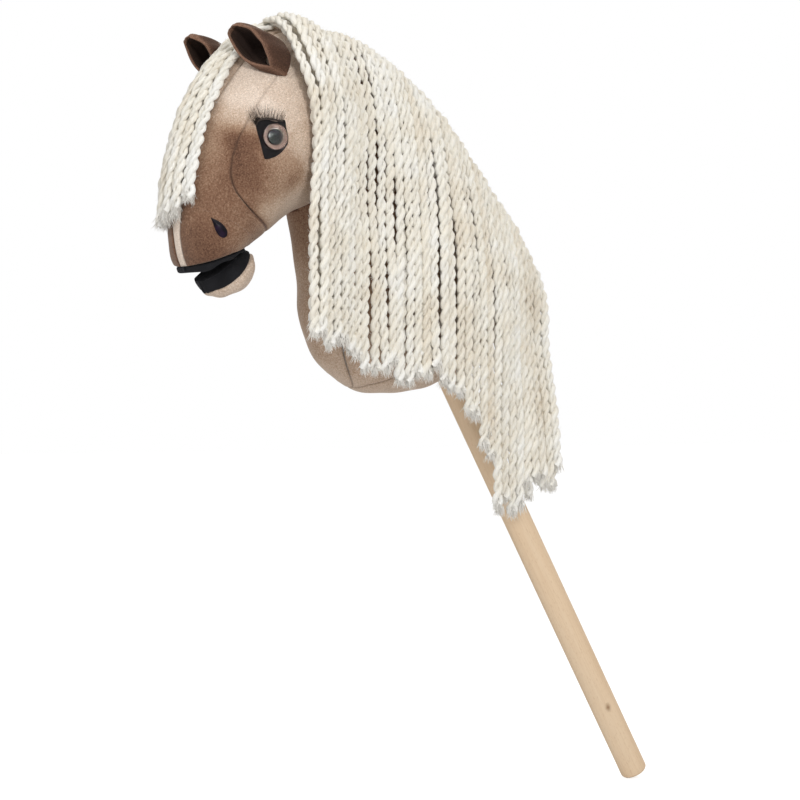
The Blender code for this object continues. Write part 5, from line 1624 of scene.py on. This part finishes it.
def bristle_tree():
    """Tufts of thin bent fibres at points, each along its own way."""
    tree = Tree("tufts of fibre", (
        ("Count", "NodeSocketInt", 1), ("Length", "NodeSocketFloat", 0.012),
        ("Thickness", "NodeSocketFloat", 0.0002), ("Jitter", "NodeSocketFloat", 0.0),
        ("Splay", "NodeSocketFloat", 0.0), ("Bend", "NodeSocketFloat", 0.003),
        ("Finish", "NodeSocketMaterial", None)))
    points = tree.out("GeometryNodeMeshToPoints", Mesh=tree.value("Geometry"))
    points = tree.out("GeometryNodeDuplicateElements", {"domain": "POINT"}, Geometry=points,
                      Amount=tree.value("Count"))

    def scatter(seed, reach):
        node = tree.add("FunctionNodeRandomValue", {"data_type": "FLOAT_VECTOR"}, Seed=seed)
        node.inputs[0].default_value = (-1.0, -1.0, -1.0)
        node.inputs[1].default_value = (1.0, 1.0, 1.0)
        return tree.vector("SCALE", node.outputs[0], scale=reach)

    way = tree.vector("ADD", tree.named("way", "FLOAT_VECTOR"), scatter(3, tree.value("Splay")))
    points = tree.store(points, "aim", way, "FLOAT_VECTOR")
    jitter = scatter(4, tree.value("Jitter"))
    points = tree.out("GeometryNodeSetPosition", Geometry=points, Offset=jitter)
    line = tree.add("GeometryNodeCurveQuadraticBezier", Resolution=5)
    for label, up, out in (("Start", 0.0, 0.0), ("Middle", 0.55, 0.0), ("End", 1.0, 1.0)):
        place = tree.out("ShaderNodeCombineXYZ", X=tree.math("MULTIPLY", tree.value("Bend"), out),
                         Z=tree.math("MULTIPLY", tree.value("Length"), up))
        tree.put(place, line.inputs[label])
    factor = tree.add("GeometryNodeSplineParameter").outputs["Factor"]
    thin = tree.math("SUBTRACT", 1.0, tree.math("MULTIPLY", factor, 0.8))
    thick = tree.math("MULTIPLY", tree.value("Thickness"), thin)
    fibre = tree.swept(line.outputs[0], thick, tree.circle(3))
    aim = tree.named("aim", "FLOAT_VECTOR")
    aim = tree.out("FunctionNodeAlignRotationToVector", {"axis": "Z"}, Vector=aim)
    size = tree.add("FunctionNodeRandomValue", {"data_type": "FLOAT"}, Seed=5)
    size.inputs[2].default_value = 0.6
    size.inputs[3].default_value = 1.15
    size = tree.math("MULTIPLY", size.outputs[1], tree.named("size"))
    tree.finish(tree.out("GeometryNodeInstanceOnPoints", Points=points, Instance=fibre, Rotation=aim,
                         Scale=size))
    return tree


def run_tree(tree, name, verts, edges, values, vectors, look, settings):
    """Runs a tree on points and edges and keeps the result as a plain mesh."""
    mesh = bpy.data.meshes.new(name + " path")
    mesh.from_pydata([tuple(v) for v in verts], edges, [])
    keep_values(mesh, values, vectors)
    source = linked(name + " path", mesh)
    modifier = source.modifiers.new("nodes", "NODES")
    modifier.node_group = tree.tree
    for label, value in {**settings, "Finish": look}.items():
        modifier[tree.sockets[label]] = value
    bpy.context.view_layer.update()
    graph = bpy.context.evaluated_depsgraph_get()
    made = bpy.data.meshes.new_from_object(source.evaluated_get(graph), depsgraph=graph)
    bpy.data.objects.remove(source)
    made.name = name
    made.materials.clear()
    made.materials.append(look)
    return linked(name, made)


def grow(tree, name, roots, ways, sizes, look, settings):
    """Fibres from roots along their ways, as one mesh."""
    return run_tree(tree, name, roots, [], {"size": sizes}, {"way": ways}, look, settings)


def joined(name, objects):
    """Several objects as one piece."""
    bm = bmesh.new()
    materials = []
    for obj in objects:
        look = obj.data.materials[0]
        if look not in materials:
            materials.append(look)
        before = len(bm.faces)
        bm.from_mesh(obj.data)
        bm.faces.ensure_lookup_table()
        for face in bm.faces[before:]:
            face.material_index = materials.index(look)
    mesh = bpy.data.meshes.new(name)
    for look in materials:
        mesh.materials.append(look)
    bm.to_mesh(mesh)
    bm.free()
    for obj in objects:
        bpy.data.objects.remove(obj)
    return linked(name, mesh)


# Yarn

class Strands:
    """Paths of yarn with the values that the yarn tree reads, and the tufts at their cut ends."""

    def __init__(self):
        self.verts, self.edges, self.across = [], [], []
        self.turn, self.swell, self.open, self.tone = [], [], [], []
        self.roots, self.ways = [], []
        self.fuzz_roots, self.fuzz_ways = [], []
        self.rng = np.random.default_rng(5)

    def add(self, path, outward, phase, tone, plump, cut_end=True):
        """One strand: its path, the ways out from the horse, its twist and shade."""
        path, outward = np.asarray(path), np.asarray(outward)
        length = np.concatenate(([0.0], np.cumsum(np.linalg.norm(np.diff(path, axis=0), axis=1))))
        left = length[-1] - length if cut_end else np.full(len(path), 1.0)
        start = len(self.verts)
        self.verts += list(path)
        self.edges += [(start + i, start + i + 1) for i in range(len(path) - 1)]
        tangent = unit(np.gradient(path, axis=0))
        self.across += list(unit(outward - tangent * np.sum(outward * tangent, axis=1, keepdims=True)))
        loose = np.clip(1.0 - left / 0.015, 0.0, 1.0)
        root = np.clip(1.0 - length / 0.030, 0.0, 1.0)
        beat = 1.0 + 0.08 * np.sin(length * 61.0 + 3.0 * phase) + 0.05 * np.sin(length * 143.0 + 5.0 * phase)
        self.turn += list(np.full(len(path), phase) + 0.55 * np.sin(length * 23.0 + phase))
        self.swell += list(plump * beat * (1.0 + 0.12 * loose) * (1.0 - 0.32 * root))
        self.open += list((1.0 + 0.60 * loose ** 2) * (1.0 - 0.45 * root))
        self.tone += list(np.full(len(path), tone) + 0.35 * loose)
        side = np.array(self.across[start:])
        other = np.cross(tangent, side)
        for place in np.arange(0.006, length[-1], FUZZ_STEP):
            middle, out, aside, on = (np.array([np.interp(place, length, v[:, k]) for k in range(3)])
                                      for v in (path, side, other, tangent))
            turn = self.rng.uniform(0.0, 2.0 * math.pi)
            away = out * math.cos(turn) * 0.8 + aside * math.sin(turn) * 1.15
            self.fuzz_roots.append(middle + away * self.rng.uniform(0.0026, 0.0040))
            self.fuzz_ways.append(unit(away + on * self.rng.normal(0.0, 0.9)))
        if cut_end:
            self.roots.append(path[-1] + tangent[-1] * -0.003)
            self.ways.append(tangent[-1])

    def spin(self, name, trees, looks):
        """The strands and their tufts as one piece."""
        values = {"turn": self.turn, "swell": self.swell, "open": self.open, "tone": self.tone}
        made = [run_tree(trees["yarn"], name + "_strands", self.verts, self.edges, values,
                         {"across": self.across}, looks["yarn"], {})]
        for part, roots, ways, settings in (("_fuzz", self.fuzz_roots, self.fuzz_ways, FUZZ),
                                            ("_tufts", self.roots, self.ways, TUFT)):
            if roots:
                made.append(grow(trees["bristle"], name + part, roots, ways, np.ones(len(roots)),
                                 looks["yarn end"], settings))
        return joined(name, made)


def mane_path(x, end, lift, sway, phase):
    """A strand from the crest seam over the near side, combed at its root, and then straight down."""
    comb = COMB_REACH * min(max(1.0 - (x - MANE_SPREAD[0]) / COMB_FADE, 0.0), 1.0)
    falls, shares = zip(*COMBED)
    last = MANE_BACK - MANE_OVERHANG

    def place_at(down):
        return x - comb * float(np.interp(down, falls, shares))

    root = place_at(0.0)
    crest = WHOLE_TREE.ray_cast(Vector((min(root, last), 0.0, 2.0)), Vector((0.0, 0.0, -1.0)))[0]
    path, ways = [], []
    widest, here = 0.0, root
    swell, middle, width = CREST_SWELL
    low = ROOT_LIFT + swell * math.exp(-((root - middle) / width) ** 2)
    for turn in np.radians(np.linspace(1.0, 90.0, 16)):
        way = Vector((0.0, -math.sin(turn), math.cos(turn)))
        centre = Vector((min(here, last), 0.0, crest.z - 0.055))
        hit, normal, _, _ = WHOLE_TREE.ray_cast(centre + way * 0.3, -way)
        sewn = low + (1.0 - low) * math.sin(min(turn / ROOT_TURN, 1.0) * math.pi / 2.0)
        point = hit + way * (lift * sewn / max(normal.dot(way), STEEPEST))
        widest = min(widest, point.y)
        path.append((here, widest, point.z - OVERHANG_FALL * max(root - last, 0.0)))
        ways.append(tuple(way))
        here = place_at(crest.z - point.z)
    top = path[-1][2]
    steps = max(int((top - end) / 0.008), 4)
    for k in range(1, steps + 1):
        z = top + (end - top) * k / steps
        here = place_at(crest.z - z)
        hit, normal, _, _ = WHOLE_TREE.ray_cast(Vector((min(here, last), -0.3, z)), Vector((0.0, 1.0, 0.0)))
        if hit is not None:
            widest = min(widest, hit.y - lift / max(abs(normal.y), STEEPEST))
        fallen = math.sin(math.pi / 2.0 * min((crest.z - z) / YARN_DRIFT_FALL, 1.0))
        path.append((here, min(widest, -YARN_DRIFT * fallen - lift), z))
        ways.append((0.0, -1.0, 0.0))
    path = smoothed(np.array(path), 3)
    down = path[0, 2] - path[:, 2]
    ease = np.clip(down / 0.12, 0.0, 1.0)
    path[:, 0] += ease * sway * (0.6 * np.sin(down * 16.0 + phase) + 0.5 * np.sin(down * 37.0 + 2.3 * phase))
    path[:, 1] -= ease * abs(sway) * 0.5 * (1.0 + np.sin(down * 21.0 + 1.4 * phase))
    return path, np.array(ways)


def spin_mane(trees, looks):
    """The mane's two rows of strands, given to the six locks by where they are sewn on."""
    locks = [Strands() for _ in range(LOCKS)]
    rng = np.random.default_rng(21)
    ends = np.array(MANE_ENDS)
    first, last = MANE_SPREAD
    count = int((last - first) / ROOT_SPACING)
    for row, lift in enumerate(ROW_LIFTS):
        for k in range(count + 1 - row):
            x = first + (k + 0.5 * row) * (last - first) / count
            if rng.uniform() > ROW_SHARES[row] and FULL_ROWS[0] < x < FULL_ROWS[1]:
                continue
            end = float(np.interp(x, ends[:, 0], ends[:, 1])) + rng.uniform(*END_SCATTER) + END_ROW_STEP * row
            phase = rng.uniform(0.0, 2.0 * math.pi)
            path, ways = mane_path(x + rng.uniform(-0.0008, 0.0008), end, lift + rng.uniform(-0.0006, 0.0006),
                                   rng.uniform(-STRAND_SWAY, STRAND_SWAY), phase)
            lock = min(max(int((x - MANE_FRONT) / ((MANE_BACK - MANE_FRONT) / LOCKS)), 0), LOCKS - 1)
            locks[lock].add(path, ways, phase, rng.uniform(0.45, 0.80), rng.uniform(0.94, 1.08))
    for index, lock in enumerate(locks):
        piece = lock.spin("mane_yarn_%d" % (index + 1), trees, looks)
        dress(piece, "mane_%d" % (index + 1), "yarn", "mane_lock_%d" % (index + 1))


def forelock_path(y_top, y_low, start, stop, end, lift):
    """A strand over poll, forehead and nose between two distances; it never turns back to the face."""
    path, ways = [], []
    nearest = 1.0
    for share in np.linspace(HEAD.share_at(start), HEAD.share_at(stop), 64):
        along = float(HEAD.section(np.array(share))[0])
        ease = min(max((along - 0.02) / 0.085, 0.0), 1.0)
        ease = ease * ease * (3.0 - 2.0 * ease)
        y = y_top + (y_low - y_top) * ease
        angle = -math.copysign(float(HEAD.angle_for(np.array(max(share, 0.0)), abs(y))), y)
        sewn = ROOT_LIFT + (1.0 - ROOT_LIFT) * min(max((along + 0.004) / 0.02, 0.0), 1.0)
        point = HEAD.point(share, angle, np.array(SKIN + lift * sewn))
        nearest = min(nearest, point[0])
        point[0], point[1] = nearest, y
        path.append(point)
        ways.append(HEAD.normal(share, angle))
        if point[2] < end:
            break
    return smoothed(np.array(path), 2), np.array(ways)


def spin_forelock(trees, looks):
    """The forelock's strands, and the sewn stretch of them that stays on the poll when they swing."""
    strands, sewn = Strands(), Strands()
    rng = np.random.default_rng(33)
    ends = np.array(FORELOCK_ENDS)
    for k in range(FORELOCK_STRANDS):
        share = k / (FORELOCK_STRANDS - 1)
        y_top = -FORELOCK_LEFT[0] + (FORELOCK_LEFT[0] + FORELOCK_RIGHT[0]) * share
        y_low = -FORELOCK_LEFT[1] + (FORELOCK_LEFT[1] + FORELOCK_RIGHT[1]) * share
        end = float(np.interp(y_low, ends[:, 0], ends[:, 1])) + rng.uniform(-0.006, 0.006)
        lift = ROW_LIFTS[k % 2]
        shade = (rng.uniform(0.0, 6.28), rng.uniform(0.55, 0.9), rng.uniform(0.94, 1.06))
        path, ways = forelock_path(y_top, y_low, FORELOCK_START, FORELOCK_LIMIT, end, lift)
        strands.add(path, ways, *shade)
        path, ways = forelock_path(y_top, y_low, POLL_START, FORELOCK_START + 0.003, 0.0, lift)
        sewn.add(path, ways, *shade, cut_end=False)
    dress(strands.spin("forelock_yarn", trees, looks), "forelock", "yarn", "forelock")
    dress(sewn.spin("poll_yarn", trees, looks), "horse", "yarn")


# The tape in the crest seam

def stitch(start, end, out, radius, steps=8, around=6):
    """Points and faces of one arched stitch of thread."""
    verts = []
    for k in range(steps + 1):
        share = k / steps
        rise = math.sin(math.pi * share)
        middle = start + (end - start) * share + out * (radius * (1.3 * rise - 0.4))
        slim = radius * (0.5 + 0.5 * rise ** 0.5)
        side = unit(np.cross(end - start, out))
        for j in range(around):
            turn = 2.0 * math.pi * j / around
            verts.append(middle + side * math.cos(turn) * slim + out * math.sin(turn) * slim)
    faces = grid_faces(steps + 1, around, 0, closed=True)
    return verts, faces + [tuple(range(around)), tuple(range(steps * around, (steps + 1) * around))]


def sew_tape(looks):
    """The woven tape over the crest, turned under at its ends, with two rows of stitches."""
    low, high = NECK.share_at(TAPE_SPAN[0]), NECK.share_at(TAPE_SPAN[1])
    ends = (0.0, 0.0012, 0.003, 0.006, 0.012)
    shares = (low + (high - low) * close_to_edges(150, ends))[:, None]
    across = (close_to_edges(16, (0.0, 0.02, 0.05, 0.10)) * 2.0 - 1.0)[None, :]
    half = np.arcsin(np.minimum(TAPE_WIDTH / 2.0 / NECK.section(shares)[..., 3], 0.9))
    wave = 1.0 + 0.03 * np.sin(shares * 90.0)
    angles = math.pi + across * half * wave
    shares = np.repeat(shares, angles.shape[1], axis=1)
    base = NECK.flat(shares, angles)
    near = edge_distance(base)
    normal = NECK.normal(shares, angles)
    from_end = np.abs(np.minimum(shares - low, high - shares)) / (high - low)
    folded = np.clip(1.0 - from_end / TAPE_FOLD, 0.0, 1.0) > 0.0
    thick = TAPE_THICKNESS * (0.35 + 0.65 * np.sqrt(np.clip(near / 0.0008, 0.0, 1.0))) * (1.0 + 0.5 * folded)
    thick = thick + 0.00012 * np.sin(shares * 700.0)
    shell = Shell()
    blank = np.zeros(near.shape)
    outer = base + normal * (SKIN + GAP + thick)[..., None]
    shell.add(outer, base + normal * (SKIN + GAP / 2.0), blank, blank)
    tape = shell.piece("tape_cloth", looks["tape"])
    verts, faces = [], []
    for row in (-0.72, 0.72):
        for k in range(STITCHES):
            ends = [low + (high - low) * (k + part) / STITCHES for part in (0.15, 0.80)]
            turns = [math.pi + row * float(np.interp(e, shares[:, 0], half[:, 0])) for e in ends]
            out = NECK.normal(ends[0], turns[0])
            points = [NECK.point(e, t, np.array(SKIN + GAP + TAPE_THICKNESS)) for e, t in zip(ends, turns)]
            made = stitch(points[0], points[1], out, THREAD)
            faces += [tuple(len(verts) + i for i in face) for face in made[1]]
            verts += made[0]
    thread = new_piece("tape_thread", verts, faces, looks["yarn end"])
    dress(joined("crest_tape", [tape, thread]), "horse", "cotton_tape", "mane_tape")


# Stick

# Pin knots of the stick: height, shift aside, size
STICK_KNOTS = ((0.0865, 0.0030, 0.0030), (0.0537, -0.0038, 0.0022))


def turn_stick(looks):
    """The dowel with its rounded foot; grain runs along it and two pin knots show low down."""
    length = STICK_BARE + STICK_INSIDE
    core, straight = STICK_RADIUS - STICK_ROUNDING, length - 2.0 * STICK_ROUNDING
    turns = quarter_turn(8)
    profile = [(0.0, 0.0)]
    profile += [(core + STICK_ROUNDING * math.sin(turn), STICK_ROUNDING - STICK_ROUNDING * math.cos(turn))
                for turn in turns]
    profile += [(STICK_RADIUS, STICK_ROUNDING + straight * k / 120.0) for k in range(1, 121)]
    high = length - STICK_ROUNDING
    profile += [(core + STICK_ROUNDING * math.cos(turn), high + STICK_ROUNDING * math.sin(turn))
                for turn in turns[1:]]
    profile.append((0.0, length))
    verts, faces, values = turned(profile, (0.0, 0.0, 0.0), STICK_AXIS, 96)
    radius, height, turn = values.T
    grain = np.stack((radius * np.cos(turn), radius * np.sin(turn), height), axis=1)
    points = np.array([tuple(v) for v in verts])
    look = np.array((math.sin(CAMERA_YAW), math.cos(CAMERA_YAW), 0.0))
    right = np.array((math.cos(CAMERA_YAW), -math.sin(CAMERA_YAW), 0.0))
    face, aside = (unit(v - STICK_AXIS * (v @ STICK_AXIS)) for v in (-look, right))
    knot = np.zeros(len(points))
    for height, shift, reach in STICK_KNOTS:
        centre = STICK_AXIS * height + face * math.sqrt(STICK_RADIUS ** 2 - shift ** 2) + aside * shift
        knot = np.maximum(knot, np.exp(-np.sum((points - centre) ** 2, axis=1) / (reach * 0.8) ** 2))
    piece = new_piece("beech_stick", verts, faces, looks["beech"], {"knot": knot}, {"grain": grain})
    dress(piece, "horse", "beech", "stick")


# Everything

def make_looks():
    """Every material by its short name."""
    brown = ((0.0, (0.070, 0.030, 0.017)), (0.25, (0.195, 0.100, 0.058)), (0.5, (0.36, 0.235, 0.155)),
             (0.75, (0.56, 0.43, 0.33)), (1.0, (0.76, 0.64, 0.54)))
    dark = ((0.0, (0.046, 0.021, 0.012)), (0.4, (0.080, 0.038, 0.023)), (1.0, (0.21, 0.115, 0.075)))
    inside = ((0.0, (0.018, 0.009, 0.006)), (1.0, (0.070, 0.034, 0.022)))
    return {
        "velvet": velvet("velvet", brown, 0.22, 0.35, (0.95, 0.85, 0.75)),
        "ear": velvet("dark velvet", dark, 0.45, 0.30, (0.80, 0.58, 0.45), 0.22),
        "ear lining": velvet("ear lining velvet", inside, 0.3, 0.12, (0.6, 0.4, 0.3), 0.1),
        "black velvet": black_cloth("black velvet", (0.0045, 0.0045, 0.0055)),
        "felt": black_cloth("black felt", (0.0040, 0.0036, 0.0040)),
        "satin": satin_cloth(),
        "yarn": yarn_cloth("cream yarn"),
        "yarn end": plain_finish("loose yarn fibre", (0.84, 0.80, 0.73), (0.93, 0.915, 0.875), 0.9),
        "beech": beech_wood(),
        "eye": iris_plastic(),
        "clear": clear_plastic(),
        "bristle": bristle(),
        "tape": woven_tape(),
        "filling": loose_filling(),
        "canvas": plain_finish("canvas", (0.44, 0.39, 0.32), (0.58, 0.53, 0.45), 0.9, 0.0, 900.0, 0.0003),
        "nylon": plain_finish("white nylon", (0.78, 0.78, 0.75), (0.84, 0.84, 0.82), 0.45),
        "steel": plain_finish("zinc plated steel", (0.52, 0.52, 0.50), (0.68, 0.68, 0.66), 0.34, 1.0, 400.0),
        "plastic": plain_finish("washer plastic", (0.70, 0.70, 0.67), (0.80, 0.80, 0.77), 0.45),
    }


def paint_frame(looks):
    """Gives the CAD nodes that stay in view their own finishes."""
    finishes = {"forelock_tape": "tape", "stick_pocket": "canvas", "pocket_tie": "nylon",
                "pocket_screw": "steel", "neck_stuffing": "filling", "head_stuffing": "filling",
                "eye_washer_left": "plastic", "eye_washer_right": "plastic"}
    for node, look in finishes.items():
        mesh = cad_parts[node].data
        if not mesh.materials:
            mesh.materials.append(looks[look])
        for index in range(len(mesh.materials)):
            mesh.materials[index] = looks[look]


def main():
    place_camera()
    light_studio()
    lay_floor()
    looks = make_looks()
    trees = {"yarn": yarn_tree(), "bristle": bristle_tree()}
    turn_stick(looks)
    sew_neck(looks)
    sew_head(looks)
    sew_palate(looks)
    sew_jaw(looks)
    sew_ears(looks)
    for word, side in SIDES:
        make_eye(word, side, looks, trees["bristle"])
        make_nostril(word, side, looks)
    shine_eyes()
    spin_mane(trees, looks)
    spin_forelock(trees, looks)
    sew_tape(looks)
    paint_frame(looks)


main()
